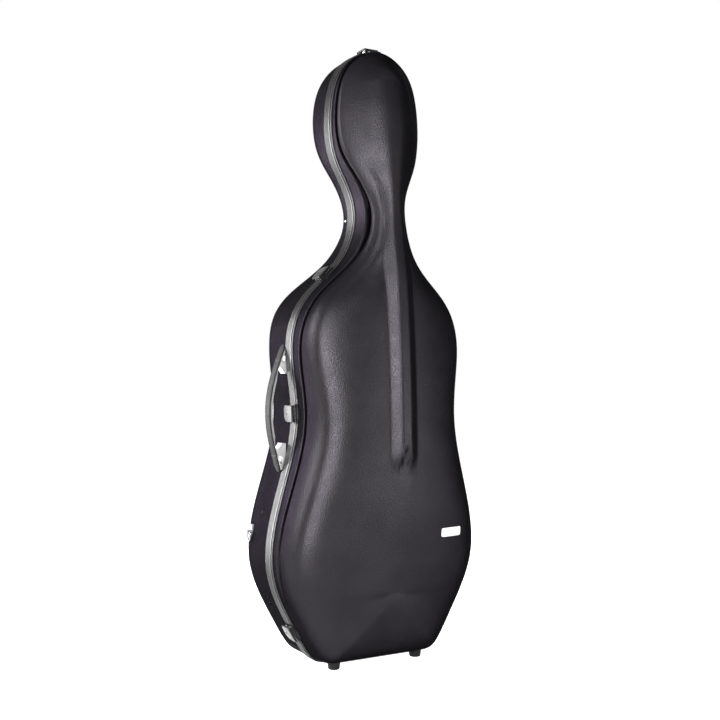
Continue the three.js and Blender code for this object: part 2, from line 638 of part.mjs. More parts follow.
function latchBail() {
  const inner = LATCH_WIDTH / 2 + GAP;
  const outer = inner + BAIL_WIRE;
  const arm = shapeOf([
    [bailPivot.x - BAIL_WIRE / 2, bailPivot.y], [bailPivot.x + BAIL_WIRE / 2, bailPivot.y],
    [bailHeight + BAIL_WIRE, bailFront], [bailHeight, bailFront],
  ]);
  const bar = box([bailHeight, bailFront - BAIL_WIRE, -outer], [bailHeight + BAIL_WIRE, bailFront, outer]);
  const pieces = [bar];
  [-1, 1].forEach((end) => {
    const [from, to] = [end * inner, end * outer].sort((a, b) => a - b);
    pieces.push(prism(arm, from, to));
    pieces.push(prism(disc(bailPivot.x, bailPivot.y, BAIL_WIRE * LATCH_SHARES.boss), from, to));
    const [tipFrom, tipTo] = [end * (inner - LATCH_SKIN), end * outer].sort((a, b) => a - b);
    pieces.push(rod(bailPivot.x, bailPivot.y, PIN_RADIUS - GAP, tipFrom, tipTo));
  });
  return joined(...pieces);
}

function latchKeeper() {
  const half = LATCH_WIDTH / 3;
  const lipFront = bailFront - BAIL_WIRE - GAP;
  const plateTop = bailHeight - GAP;
  const plateEnd = bailFront + 3 * LATCH_SKIN;
  return prism(shapeOf([
    [-WALL, lipFront - LATCH_SKIN], [bailHeight + BAIL_WIRE, lipFront - LATCH_SKIN],
    [bailHeight + BAIL_WIRE, lipFront], [plateTop, lipFront], [plateTop, plateEnd], [-WALL, plateEnd],
  ]), -half, half);
}

const LATCH_PLACES = [['top', 0, 1], ['shoulder', -1, 0.625], ['waist', -1, 0.4], ['lower', -1, 0.048]];
LATCH_PLACES.forEach(([place, side, share]) => {
  const frame = rimFrame(side, heightAt(share));
  addPiece(`${place}_latch_bracket`, seated(latchBracket(), frame, baseEnvelope), BLACK_METAL_FINISH, frame);
  addPiece(`${place}_latch_lever`, latchLever(), BRIGHT_FINISH, frame);
  addPiece(`${place}_latch_bail`, latchBail(), BLACK_METAL_FINISH, frame);
  addPiece(`${place}_latch_keeper`, seated(latchKeeper(), frame, lidEnvelope), BLACK_METAL_FINISH, frame);
});

// Hinges: both knuckles turn on one straight line that touches the upper and the lower bout.
const HINGE_SHARES = { upper: 0.538, lower: 0.19 };
const hingePoint = (share) => {
  const frame = rimFrame(1, heightAt(share));
  const out = new THREE.Vector3().setFromMatrixColumn(frame, 0);
  return new THREE.Vector3().setFromMatrixPosition(frame).addScaledVector(out, HINGE_STANDOFF);
};
const hingeAxis = hingePoint(HINGE_SHARES.upper).sub(hingePoint(HINGE_SHARES.lower)).normalize();
const hingeOut = new THREE.Vector3(hingeAxis.z, 0, -hingeAxis.x);

function leafSection(reachBack, thickness, side) {
  const deep = -HINGE_STANDOFF - WALL;
  const plateTop = thickness - HINGE_STANDOFF;
  const reach = side * reachBack;
  const near = side * KNUCKLE_RADIUS * LEAF_SHARES.near;
  return shapeOf([
    [deep, reach], [plateTop, reach], [plateTop, near + side * LEAF_THICKNESS],
    [KNUCKLE_RADIUS / 2, side * KNUCKLE_RADIUS / 2], [-KNUCKLE_RADIUS / 2, side * KNUCKLE_RADIUS / 2],
    [deep, near],
  ]);
}

function hingeLeaf(side, thickness, spans) {
  const half = HINGE_LENGTH / 2;
  const reachBack = KNUCKLE_RADIUS * LEAF_SHARES.back;
  const section = leafSection(reachBack, thickness, side);
  const bore = rod(0, 0, PIN_RADIUS + GAP, -HINGE_LENGTH, HINGE_LENGTH);
  const plateFrom = side * KNUCKLE_RADIUS * LEAF_SHARES.plate;
  const knuckle = disc(0, 0, KNUCKLE_RADIUS);
  const pieces = spans.map(([from, to]) => joined(prism(section, from, to), prism(knuckle, from, to)));
  const [low, high] = [plateFrom, side * reachBack].sort((a, b) => a - b);
  pieces.push(box([-HINGE_STANDOFF - WALL, low, -half], [thickness - HINGE_STANDOFF, high, half]));
  return cut(joined(...pieces), bore);
}

Object.entries(HINGE_SHARES).forEach(([place, share]) => {
  const frame = frameOf(hingePoint(share), hingeOut, FORWARD);
  const half = HINGE_LENGTH / 2;
  const third = HINGE_LENGTH / 6;
  const baseTop = GAP + RIM_PROUD + GAP + LEAF_THICKNESS;
  const lidTop = GAP + RIM_WEB + GAP + LEAF_THICKNESS;
  const baseLeaf = hingeLeaf(-1, baseTop, [[-half, -third - GAP], [third + GAP, half]]);
  const lidLeaf = hingeLeaf(1, lidTop, [[-third, third]]);
  addPiece(`${place}_hinge_base_leaf`, seated(baseLeaf, frame, baseEnvelope), METAL_FINISH, frame);
  addPiece(`${place}_hinge_lid_leaf`, seated(lidLeaf, frame, lidEnvelope), METAL_FINISH, frame);
  const pinHalf = half + LEAF_THICKNESS;
  const pin = rod(0, 0, PIN_RADIUS, -pinHalf, pinHalf);
  addPiece(`${place}_hinge_pin`, pin, METAL_FINISH, frame);
});

// Side handle: an arched strap with a ribbed grip inside it, pinned to two wedge brackets
const HANDLE_SHARE = 0.408;
const WEDGE_SHARES = { tip: 0.97, pin: 0.86, slot: 0.79, shoulder: 0.68, heel: 0.55, width: 0.76 };
const handleBack = RIM_HALF_GAP + RIM_FLANGE + GAP + HANDLE_WIDTH / 2;
const strapFoot = HANDLE_THICKNESS;
const pinLift = HANDLE_THICKNESS + PIN_RADIUS / 2;
const tenonHalf = 2 * PIN_RADIUS;

function handleSeat(end) {
  const z = heightAt(HANDLE_SHARE) + end * HANDLE_SPAN / 2;
  const from = new THREE.Vector3(-LOWER_BOUT_WIDTH, handleBack, z);
  return meet(baseShell, from, new THREE.Vector3(1, 0, 0)).point;
}

const handleEnds = [handleSeat(-1), handleSeat(1)];
const handleAxis = handleEnds[1].clone().sub(handleEnds[0]).normalize();
const handleOut = new THREE.Vector3(-handleAxis.z, 0, handleAxis.x);
const handleMiddle = handleEnds[0].clone().add(handleEnds[1]).multiplyScalar(0.5);
const handleFrame = frameOf(handleMiddle, handleOut, FORWARD);

// The strap's centre line, in the handle's frame: x outward from the shell, z along the strap.
function archAt(t) {
  const slope = Math.PI * HANDLE_RISE / HANDLE_SPAN * Math.cos(Math.PI * t);
  return {
    x: strapFoot + HANDLE_RISE * Math.sin(Math.PI * t),
    z: (t - 1 / 2) * HANDLE_SPAN,
    length: Math.hypot(1, slope),
    slope,
  };
}

function archRing(t, inside, outside, width) {
  const { x, z, length, slope } = archAt(t);
  const [nx, nz] = [1 / length, -slope / length];
  const half = width / 2;
  const bevel = (outside - inside) / 4;
  return [
    [inside, half - bevel], [inside + bevel, half], [outside - bevel, half], [outside, half - bevel],
    [outside, bevel - half], [outside - bevel, -half], [inside + bevel, -half], [inside, bevel - half],
  ].map(([off, y]) => new THREE.Vector3(x + nx * off, y, z + nz * off));
}

function capped(rings) {
  const fan = (ring) => {
    const hub = ring.reduce((sum, p) => sum.add(p), new THREE.Vector3()).divideScalar(ring.length);
    return ring.map(() => hub);
  };
  return bodyFrom(loft([fan(rings[0]), ...rings, fan(rings[rings.length - 1])]));
}

// A section in x and z, extruded across the strap.
function acrossStrap(points, half) {
  const turned = new THREE.Matrix4().makeBasis(
    new THREE.Vector3(1, 0, 0), new THREE.Vector3(0, 0, 1), new THREE.Vector3(0, -1, 0),
  );
  return prism(shapeOf(points), -half, half).applyMatrix4(turned);
}

function crossPin(radius, end, half) {
  return rod(0, 0, radius, -half, half).rotateX(Math.PI / 2)
    .translate(pinLift, 0, end * WEDGE_SHARES.pin * HANDLE_SPAN / 2);
}

function handleStrap() {
  const half = HANDLE_THICKNESS / 2;
  const inner = [];
  for (let k = 1; k < ROUND_STEPS; k += 1) inner.push([k / ROUND_STEPS, 1]);
  const farTongue = TONGUE_SHARES.slice().reverse().map(([t, w]) => [1 - t, w]);
  const widths = [...TONGUE_SHARES, ...inner, ...farTongue];
  const band = capped(widths.map(([t, w]) => archRing(t, -half, half, HANDLE_WIDTH * w)));
  const tenons = [-1, 1].map((end) => {
    const z = end * WEDGE_SHARES.pin * HANDLE_SPAN / 2;
    const { x } = archAt(1 / 2 + z / HANDLE_SPAN);
    return box([pinLift / 2, -tenonHalf, z - pinLift], [x, tenonHalf, z + pinLift]);
  });
  const holes = [-1, 1].map((end) => crossPin(PIN_RADIUS + GAP, end, HANDLE_WIDTH));
  return cut(joined(band, ...tenons), ...holes);
}

function handleGrip() {
  const ribs = 10;
  const stepsPerRib = 2;
  const steps = ribs * stepsPerRib;
  const face = -HANDLE_THICKNESS / 2 - 2 * GAP;
  const rings = [];
  for (let k = 0; k <= steps; k += 1) {
    const t = 1 / 2 + (k / steps - 1 / 2) * GRIP_SPAN / HANDLE_SPAN;
    const place = THREE.MathUtils.clamp(k / steps, GRIP_SHARES.end, 1 - GRIP_SHARES.end);
    const taper = Math.sin(Math.PI * place) ** GRIP_SHARES.taper;
    const valley = k % stepsPerRib === 0 ? GRIP_SHARES.valley : 1;
    rings.push(archRing(t, face - GRIP_THICKNESS * taper * valley, face, HANDLE_WIDTH * GRIP_SHARES.width));
  }
  return capped(rings);
}

function handleWedge(end) {
  const reach = end * HANDLE_SPAN / 2;
  const under = (share) => {
    const { x, length } = archAt((1 + end * share) / 2);
    return [x - HANDLE_THICKNESS / 2 * length - 2 * GAP, share * reach];
  };
  const foot = -2 * strapFoot;
  const half = HANDLE_WIDTH * WEDGE_SHARES.width / 2;
  const profile = [
    [foot, reach * WEDGE_SHARES.tip], under(WEDGE_SHARES.tip), under(WEDGE_SHARES.pin),
    under(WEDGE_SHARES.shoulder), [strapFoot, reach * WEDGE_SHARES.heel], [foot, reach * WEDGE_SHARES.heel],
  ];
  const wedge = bodyFromExtrude(acrossStrap(end > 0 ? profile : profile.reverse(), half));
  const pinZ = WEDGE_SHARES.pin * reach;
  const slotZ = WEDGE_SHARES.slot * reach;
  const pocket = box(
    [-GAP, -tenonHalf - GAP, pinZ - pinLift - GAP], [HANDLE_RISE, tenonHalf + GAP, pinZ + pinLift + GAP],
  );
  const slot = box(
    [PIN_RADIUS, -HANDLE_WIDTH, slotZ - pinLift], [2 * pinLift - PIN_RADIUS, HANDLE_WIDTH, slotZ + pinLift],
  );
  return cut(wedge, crossPin(PIN_RADIUS + GAP, end, HANDLE_WIDTH), pocket, slot);
}

function handlePin(end) {
  const half = HANDLE_WIDTH * WEDGE_SHARES.width / 2;
  const head = rod(0, 0, 1.4 * PIN_RADIUS, GAP, PIN_RADIUS);
  const heads = [-1, 1].map((side) => head.clone().rotateX(side * Math.PI / 2)
    .translate(pinLift, -side * half, end * WEDGE_SHARES.pin * HANDLE_SPAN / 2));
  return joined(crossPin(PIN_RADIUS, end, half + PIN_RADIUS / 2), ...heads);
}

// Turns an extruded form's faces outward after its axes were swapped.
function bodyFromExtrude(geometry) {
  const p = geometry.getAttribute('position');
  const triangles = [];
  const at = (i) => new THREE.Vector3().fromBufferAttribute(p, i);
  const index = geometry.getIndex();
  const count = index ? index.count : p.count;
  const corner = (i) => at(index ? index.getX(i) : i);
  for (let i = 0; i < count; i += 3) triangles.push([corner(i), corner(i + 1), corner(i + 2)]);
  return bodyFrom(triangles);
}

addPiece('handle_strap', handleStrap(), GREY_FINISH, handleFrame);
addPiece('handle_grip', handleGrip(), RUBBER_FINISH, handleFrame);
[['upper', 1], ['lower', -1]].forEach(([place, end]) => {
  const wedge = seated(handleWedge(end), handleFrame, baseEnvelope);
  addPiece(`${place}_handle_bracket`, wedge, BRIGHT_FINISH, handleFrame);
  addPiece(`${place}_handle_pin`, handlePin(end), METAL_FINISH, handleFrame);
});

// Rings for carrying straps: a plate with a tunnel, and a D ring hanging in it.
// Drawn with x out of the case, z up, and the ring's straight bar along y.
const ringLift = STRAP_WIRE + GAP;
const ringOffset = STRAP_WIRE / 2 + ringLift;

function ringPlate() {
  const half = STRAP_RING_WIDTH / 2 - STRAP_WIRE;
  const tall = STRAP_RING_WIDTH * RING_SHARES.tall;
  const collar = STRAP_WIRE / 2 + 2 * GAP;
  const turned = new THREE.Matrix4().makeRotationX(Math.PI / 2);
  const tube = disc(ringOffset, 0, collar + LEAF_THICKNESS);
  const barrel = prism(tube, -half / 2, half / 2).applyMatrix4(turned);
  const bore = prism(disc(ringOffset, 0, collar), -half, half).applyMatrix4(turned);
  const neck = box([-WALL, -half / 2, -STRAP_WIRE / 2], [ringOffset, half / 2, STRAP_WIRE]);
  const plate = box([-2 * WALL, -half, -STRAP_WIRE], [LEAF_THICKNESS, half, tall]);
  return cut(joined(plate, neck, barrel), bore);
}

function strapRing() {
  const radius = STRAP_RING_WIDTH / 2 - STRAP_WIRE / 2;
  const [left, right] = [-radius, radius].map((y) => new THREE.Vector3(ringOffset, y, 0));
  const drop = -radius * RING_SHARES.drop;
  const [lowLeft, lowRight] = [left.clone().setZ(drop), right.clone().setZ(drop)];
  const floor = drop - radius * RING_SHARES.floor;
  const bow = new THREE.CubicBezierCurve3(
    lowRight, lowRight.clone().setZ(floor), lowLeft.clone().setZ(floor), lowLeft,
  );
  const bowSteps = 8;
  const centres = [left, right, lowRight, ...bow.getPoints(bowSteps).slice(1, bowSteps), lowLeft];
  const sides = 6;
  const rings = centres.map((centre, i) => {
    const before = centres[(i + centres.length - 1) % centres.length];
    const after = centres[(i + 1) % centres.length];
    const into = centre.clone().sub(before).normalize();
    const onward = after.clone().sub(centre).normalize();
    const tangent = into.clone().add(onward).normalize();
    const across = new THREE.Vector3(1, 0, 0);
    const inPlane = new THREE.Vector3().crossVectors(tangent, across);
    const mitre = 1 / Math.max(RING_SHARES.mitre, tangent.dot(onward));
    const ring = [];
    for (let k = 0; k < sides; k += 1) {
      const angle = 2 * Math.PI * k / sides;
      ring.push(centre.clone().addScaledVector(across, STRAP_WIRE / 2 * Math.cos(angle))
        .addScaledVector(inPlane, STRAP_WIRE / 2 * Math.sin(angle) * mitre));
    }
    return ring;
  });
  return bodyFrom(loft([...rings, rings[0]]));
}

const RING_PLACES = {
  left_lower: { share: 0.203, back: 0.74, side: -1 },
  right_lower: { share: 0.203, back: 0.74, side: 1 },
  left_upper: { share: 0.54, across: 0.2, side: -1 },
  right_upper: { share: 0.54, across: 0.2, side: 1 },
};
Object.entries(RING_PLACES).forEach(([place, { share, back, across, side }]) => {
  const z = heightAt(share);
  const from = back
    ? new THREE.Vector3(side * LOWER_BOUT_WIDTH, back * BASE_DEPTH, z)
    : new THREE.Vector3(side * across * UPPER_BOUT_WIDTH / 2, 2 * BASE_DEPTH, z);
  const direction = back ? new THREE.Vector3(-side, 0, 0) : new THREE.Vector3(0, -1, 0);
  const { point, normal } = meet(baseShell, from, direction);
  const out = new THREE.Vector3(normal.x, normal.y, 0).normalize();
  const frame = frameOf(point, out, new THREE.Vector3(-out.y, out.x, 0));
  addPiece(`${place}_ring_plate`, seated(ringPlate(), frame, baseEnvelope), BLACK_METAL_FINISH, frame);
  addPiece(`${place}_strap_ring`, strapRing(), METAL_FINISH, frame);
});

// Feet: tapered rubber studs, two under the lid and two under the base
function foot(height) {
  const bevel = FOOT_RADIUS * FOOT_SHARES.bevel;
  const profile = [
    [0, 0], [FOOT_RADIUS - 2 * bevel, 0], [FOOT_RADIUS - bevel, bevel],
    [FOOT_RADIUS, height], [0, height],
  ];
  const turned = profile.map(([x, y]) => new THREE.Vector2(x, y));
  return new THREE.LatheGeometry(turned, ROUND_STEPS).rotateX(Math.PI / 2);
}

const FOOT_PLACES = {
  lid: { depth: -LID_SIDE_DEPTH, envelope: lidEnvelope },
  base: { depth: BASE_DEPTH, envelope: baseEnvelope },
};
Object.entries(FOOT_PLACES).forEach(([half, { depth, envelope }]) => {
  const [across, back] = FOOT_SHARES[half];
  [['left', -1], ['right', 1]].forEach(([hand, side]) => {
    const x = side * LOWER_BOUT_WIDTH * across;
    const frame = new THREE.Matrix4().makeTranslation(x, depth * back, 0);
    addPiece(`${half}_${hand}_foot`, seated(foot(FOOT_HEIGHT * 2), frame, envelope), RUBBER_FINISH, frame);
  });
});

// The space left inside each lining, drawn in by the gap, that the padding is fitted to
const baseRoom = filled(sunk(baseInside, GAP));
const lidRoom = filled(sunk(lidInside, GAP));

// Padding in the base: cushions at the bouts, a block at the end and a cradle for the neck
function cushion(low, high) {
  const size = high.map((h, i) => h - low[i]);
  const steps = 6;
  const rings = [];
  for (let k = 0; k <= steps; k += 1) {
    const t = k / steps;
    const swell = 1 - CUSHION_SHARES.swell * Math.abs(2 * t - 1) ** 3;
    const z = low[2] + size[2] * t;
    const [cx, cy] = [(low[0] + high[0]) / 2, (low[1] + high[1]) / 2];
    const ring = [];
    for (let i = 0; i < ROUND_STEPS; i += 1) {
      const angle = 2 * Math.PI * (i + 0.5) / ROUND_STEPS;
      const [c, s] = [Math.cos(angle), Math.sin(angle)];
      const square = 1 / (Math.abs(c) ** 4 + Math.abs(s) ** 4) ** 0.25;
      ring.push(new THREE.Vector3(
        cx + c * square * swell * size[0] / 2, cy + s * square * swell * size[1] / 2, z,
      ));
    }
    rings.push(ring);
  }
  return capped(rings);
}

function wallCushion(side, share) {
  const z = heightAt(share);
  const frame = rimFrame(side, z);
  const wall = Math.abs(frame.elements[12]);
  const inner = side * (wall - WALL - LINING - PAD_THICKNESS);
  const outer = side * (wall + LINING);
  const [lowX, highX] = [inner, outer].sort((a, b) => a - b);
  const front = BASE_DEPTH * CUSHION_SHARES.low;
  const back = front + BASE_DEPTH * CUSHION_SHARES.deep;
  const half = PAD_HEIGHT / 2;
  return common(cushion([lowX, front, z - half], [highX, back, z + half]), baseRoom);
}

[['left', -1], ['right', 1]].forEach(([hand, side]) => {
  addPiece(`upper_${hand}_cushion`, wallCushion(side, CUSHION_SHARES.upper), PLUSH_FINISH);
  addPiece(`lower_${hand}_cushion`, wallCushion(side, CUSHION_SHARES.lower), PLUSH_FINISH);
});

function neckCradle() {
  const z = heightAt(CRADLE_SHARES.up);
  const half = NECK_WIDTH;
  const depth = BASE_DEPTH;
  const front = RIM_INNER + 2 * GAP;
  const block = box([-half, front, z - CRADLE_HEIGHT / 2], [half, depth, z + CRADLE_HEIGHT / 2]);
  const hollowHalf = CELLO_NECK_WIDTH / 2;
  const notch = joined(
    rod(0, 0, hollowHalf, -CRADLE_HEIGHT, CRADLE_HEIGHT).translate(0, front + hollowHalf, z),
    box([-hollowHalf, -depth, z - CRADLE_HEIGHT], [hollowHalf, front + hollowHalf, z + CRADLE_HEIGHT]),
  );
  return cut(common(block, baseRoom), notch);
}

addPiece('neck_cradle', neckCradle(), PLUSH_FINISH);

function neckStrap() {
  const z = heightAt(CRADLE_SHARES.up);
  const half = NECK_WIDTH * CRADLE_SHARES.strap;
  const front = RIM_INNER + GAP;
  const height = CRADLE_HEIGHT / 2;
  const shape = shapeOf([
    [-half, front], [-half / 2, front - 2 * STRAP_THICKNESS], [half / 2, front - 2 * STRAP_THICKNESS],
    [half, front], [half - STRAP_THICKNESS, front],
    [half / 2 - STRAP_THICKNESS / 2, front - STRAP_THICKNESS],
    [STRAP_THICKNESS / 2 - half / 2, front - STRAP_THICKNESS], [STRAP_THICKNESS - half, front],
  ]);
  return prism(shape, z - height / 2, z + height / 2);
}

addPiece('neck_strap', neckStrap(), RUBBER_FINISH);

function endBlock() {
  const low = heightAt(0);
  const { half, low: front, high: back, socket: middle } = END_BLOCK_SHARES;
  const halfWidth = LOWER_BOUT_WIDTH * half;
  const block = cushion(
    [-halfWidth, BASE_DEPTH * front, low], [halfWidth, BASE_DEPTH * back, low + PAD_HEIGHT / 2],
  );
  const socket = rod(0, 0, CELLO_NECK_WIDTH / 2, -PAD_HEIGHT, PAD_HEIGHT)
    .translate(0, BASE_DEPTH * middle, low + PAD_HEIGHT);
  return cut(common(block, baseRoom), socket);
}

addPiece('end_block', endBlock(), PLUSH_FINISH);

// Bow holders in the lid: a turning button on a post for each bow
const BOW_SHARES = { button: 0.2, across: 0.46, plate: 0.8, post: 0.4, stem: 1.5, wing: 0.4, blade: 1.6 };

function lidSeat(x, share) {
  return meet(lidLining, new THREE.Vector3(x, 0, heightAt(share)), FORWARD);
}

[['left', -1], ['right', 1]].forEach(([hand, side]) => {
  const x = side * BOW_SHARES.across * LOWER_BOUT_WIDTH / 2;
  const { point, normal } = lidSeat(x, BOW_SHARES.button);
  const upward = new THREE.Vector3(0, 0, 1);
  const frame = frameOf(point, normal, new THREE.Vector3().crossVectors(upward, normal));
  const flat = new THREE.Matrix4().makeBasis(
    new THREE.Vector3(0, 0, 1), new THREE.Vector3(0, 1, 0), new THREE.Vector3(-1, 0, 0),
  ).invert();
  const onLining = (geometry) => common(geometry.applyMatrix4(flat).applyMatrix4(frame), lidRoom);
  const postHeight = LINING;
  const buttonFrom = postHeight + GAP;
  const plate = rod(0, 0, BOW_BUTTON_RADIUS * BOW_SHARES.plate, -LINING, 2 * LEAF_THICKNESS);
  const post = rod(0, 0, BOW_BUTTON_RADIUS * BOW_SHARES.post, -LINING, postHeight);
  const stem = rod(0, 0, PIN_RADIUS, -LINING, buttonFrom + BOW_BUTTON_THICKNESS * BOW_SHARES.stem);
  const wingHalf = BOW_BUTTON_RADIUS * BOW_SHARES.wing;
  const blade = BOW_BUTTON_RADIUS * BOW_SHARES.blade;
  const wing = shapeOf([
    [-BOW_BUTTON_RADIUS, -wingHalf], [blade, -wingHalf], [BOW_BUTTON_RADIUS * 2, 0], [blade, wingHalf],
    [-BOW_BUTTON_RADIUS, wingHalf],
  ]);
  const bore = rod(0, 0, PIN_RADIUS + GAP, -buttonFrom, 2 * buttonFrom + BOW_BUTTON_THICKNESS);
  const button = cut(prism(wing, buttonFrom, buttonFrom + BOW_BUTTON_THICKNESS), bore);
  addPiece(`${hand}_bow_post`, onLining(joined(plate, post, stem)), BLACK_METAL_FINISH);
  addPiece(`${hand}_bow_button`, button.applyMatrix4(flat), BLACK_METAL_FINISH, frame);
});

export default part;
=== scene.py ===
"""A moulded cello case with a silver rim, draw latches and a side handle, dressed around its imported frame."""
import json
import math

import bpy
import numpy as np
from mathutils import Matrix, Vector


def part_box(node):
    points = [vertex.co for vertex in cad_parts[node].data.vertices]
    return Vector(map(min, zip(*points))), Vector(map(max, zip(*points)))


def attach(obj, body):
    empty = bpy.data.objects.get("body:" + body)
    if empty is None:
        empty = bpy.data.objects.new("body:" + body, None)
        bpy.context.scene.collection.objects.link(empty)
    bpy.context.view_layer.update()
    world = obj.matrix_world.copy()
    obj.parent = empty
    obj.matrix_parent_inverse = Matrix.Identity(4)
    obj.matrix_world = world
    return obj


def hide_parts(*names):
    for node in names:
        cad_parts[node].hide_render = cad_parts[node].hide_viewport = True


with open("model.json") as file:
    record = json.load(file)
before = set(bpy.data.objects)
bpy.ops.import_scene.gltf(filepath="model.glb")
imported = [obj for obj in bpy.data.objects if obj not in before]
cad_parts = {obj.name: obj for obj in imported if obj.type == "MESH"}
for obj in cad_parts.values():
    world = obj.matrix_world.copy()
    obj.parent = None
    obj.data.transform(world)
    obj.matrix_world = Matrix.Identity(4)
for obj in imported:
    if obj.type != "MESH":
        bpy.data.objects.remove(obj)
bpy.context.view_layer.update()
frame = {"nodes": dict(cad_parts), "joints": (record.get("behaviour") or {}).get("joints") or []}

bl_info = {
    "name": "Cello Case",
    "version": (1, 0, 0),
    "blender": (4, 5, 0),
    "location": "View3D > Sidebar > Cello Case",
    "description": "Models a hard cello case piece by piece",
    "category": "Add Mesh",
}

MM = 0.001

# Widths in millimetres and the outline's control net: width, share of its half, share of the height
HEAD, NECK, UPPER, WAIST, LOWER = 218, 90, 406, 378, 500
OUTLINE_NET = [
    (HEAD, 0, 1.004), (HEAD, .53, .987), (HEAD, .92, .951), (HEAD, 1.045, .876), (HEAD, .92, .81),
    (NECK, .67, .746), (NECK, 1.33, .648), (UPPER, .9, .591), (UPPER, 1.07, .503), (WAIST, .913, .39),
    (LOWER, .92, .268), (LOWER, 1.07, .15), (LOWER, .78, .057), (LOWER, .6, -.003),
    (LOWER, .46, -.004), (LOWER, .24, -.004), (LOWER, 0, -.004),
]
FOOT_HEIGHT = 18

# Depths in millimetres, and tables along the case: share of the height, then share of the value named there
BASE_DEPTH, LID_SIDE_DEPTH, LID_CROWN_DEPTH = 150, 90, 136
BASE_DEPTHS = [(0, .9), (.1, .94), (.23, 1.01), (.37, .98), (.5, .94), (.6, .98), (.66, .66), (.71, .47),
               (.77, .52), (.85, .7), (.93, .74), (1, .56)]
LID_SIDES = [(0, .84), (.1, .88), (.23, 1.04), (.37, 1.12), (.5, .96), (.62, .95), (.7, 1.04), (.77, .82),
             (.85, .54), (.93, .46), (1, .46)]
LID_CROWNS = [(0, .62), (.1, .8), (.23, .95), (.34, 1), (.5, .93), (.62, .83), (.7, .74), (.77, .71),
              (.85, .72), (.92, .66), (1, .45)]
BANDS = [(0, .6), (.14, .66), (.3, 1), (.5, .95), (.62, 1.2), (.7, 1.6), (.77, 1.3), (.84, .6), (1, .45)]
GROOVE_FADES = [(0, 0), (.1, 0), (.22, 1), (.9, 1), (.97, .3), (1, 0)]
GROOVE_WIDTHS = [(0, 1), (.5, 1), (.62, 1.6), (.7, 2.6), (.78, 1.7), (.85, .9), (1, .8)]
RIDGES = [(0, 1), (.4, 1), (.6, 1), (.66, .8), (.72, .5), (.78, .34), (.86, .1), (.92, 0), (1, 0)]

# The mouldings in millimetres: band, groove and lip, rolled edges, domes, and the ridge with its notched end
BAND_DEPTH, GROOVE_WIDTH, LIP_WIDTH, LIP_INSET = 27, 8, 5, 1.2
GROOVE_ENTRY, GROOVE_EXIT = 3.4, 3
EDGE_ROUND, BASE_ROUND, BASE_CROWN, DRAFT = 42, 44, 7, .06
LID_TURN, BASE_TURN = math.radians(65), math.radians(78)
DOME_POWER, BACK_POWER = 2.1, 2.4
RIDGE_HALF_WIDTH, RIDGE_END, RIDGE_FADE, RIDGE_NOTCH, NOTCH_HALF_WIDTH = 39, 448, 13, 22, 15
RIDGE_REACH_SHARE, RIDGE_CREST_SHARE = .85, .18

# The middle line's ends as shares of the height, then walls, linings and gaps, and where a half starts
SPINE = (.11, .945)
WALL, LINING, GAP, LINING_GAP = 3, 9, .3, 3.4
SET_BACK = 3.3
RIM_INNER = 11
FORWARD = Vector((0, -1, 0))

# Counts of points: round the case, and in the lid's rows over band, groove, rolled edge, dome and ridge
PER_SIDE = 176
BAND_ROWS, LIP_ROWS, ROLL_ROWS, DOME_ROWS, RIDGE_ROWS = 5, 16, 11, 15, 24
LID_ROWS = BAND_ROWS + LIP_ROWS + ROLL_ROWS + DOME_ROWS + RIDGE_ROWS - 1
FINE_ROWS, PROFILE_POINTS = 24, 241

# Smoothing of the dome: along a profile in millimetres, held between two counts of points, and round the case
SMOOTHING, SMOOTHING_LIMITS = 12, (13, 60)
EVEN_STATIONS, EVEN_UNTIL, EVEN_FADE = 8, 42, 20


class CaseShellSettings(bpy.types.PropertyGroup):
    """Sizes and colours of the moulded shells"""
    height: bpy.props.FloatProperty(
        name="Height", description="Height of the shells without the feet", default=1.35, unit="LENGTH")
    wall: bpy.props.FloatProperty(
        name="Wall", description="Thickness of the moulded wall", default=WALL * MM, unit="LENGTH")
    groove_depth: bpy.props.FloatProperty(
        name="Groove", description="Depth of the groove beside the lid's band", default=.0085, unit="LENGTH")
    ridge_height: bpy.props.FloatProperty(
        name="Ridge", description="Height of the ridge down the lid", default=.014, unit="LENGTH")
    colour: bpy.props.FloatVectorProperty(
        name="Shell Colour", description="Colour of the moulded plastic", subtype="COLOR",
        default=(.0116, .0107, .0124))
    grain: bpy.props.FloatProperty(
        name="Grain", description="Pitch of the embossed grain", default=.0024, unit="LENGTH")


class CaseTrimSettings(bpy.types.PropertyGroup):
    """Sizes and colours of the rims, latches, handle and small fittings"""
    rim_colour: bpy.props.FloatVectorProperty(
        name="Rim Colour", description="Colour of the silver rim", subtype="COLOR",
        default=(.0095, .0093, .0095))
    latch_width: bpy.props.FloatProperty(
        name="Latch Width", description="Length of a latch along the rim", default=.036, unit="LENGTH")
    handle_span: bpy.props.FloatProperty(
        name="Handle Span", description="Distance between the handle's ends", default=.276, unit="LENGTH")
    handle_rise: bpy.props.FloatProperty(
        name="Handle Rise", description="Height of the handle's arch", default=.033, unit="LENGTH")
    handle_colour: bpy.props.FloatVectorProperty(
        name="Handle Colour", description="Colour of the handle's band", subtype="COLOR",
        default=(.009, .0088, .0092))
    ring_width: bpy.props.FloatProperty(
        name="Ring Width", description="Width of a strap ring", default=.03, unit="LENGTH")
    foot_radius: bpy.props.FloatProperty(
        name="Foot Radius", description="Radius of a rubber foot", default=.014, unit="LENGTH")


class CasePaddingSettings(bpy.types.PropertyGroup):
    """Sizes and colours of the linings and cushions"""
    lining: bpy.props.FloatProperty(
        name="Lining", description="Thickness of the plush lining", default=LINING * MM, unit="LENGTH")
    plush_colour: bpy.props.FloatVectorProperty(
        name="Plush Colour", description="Colour of the plush", subtype="COLOR", default=(.016, .017, .021))
    swell: bpy.props.FloatProperty(
        name="Swell", description="How far a cushion's middle stands above its seam", default=.005,
        unit="LENGTH")


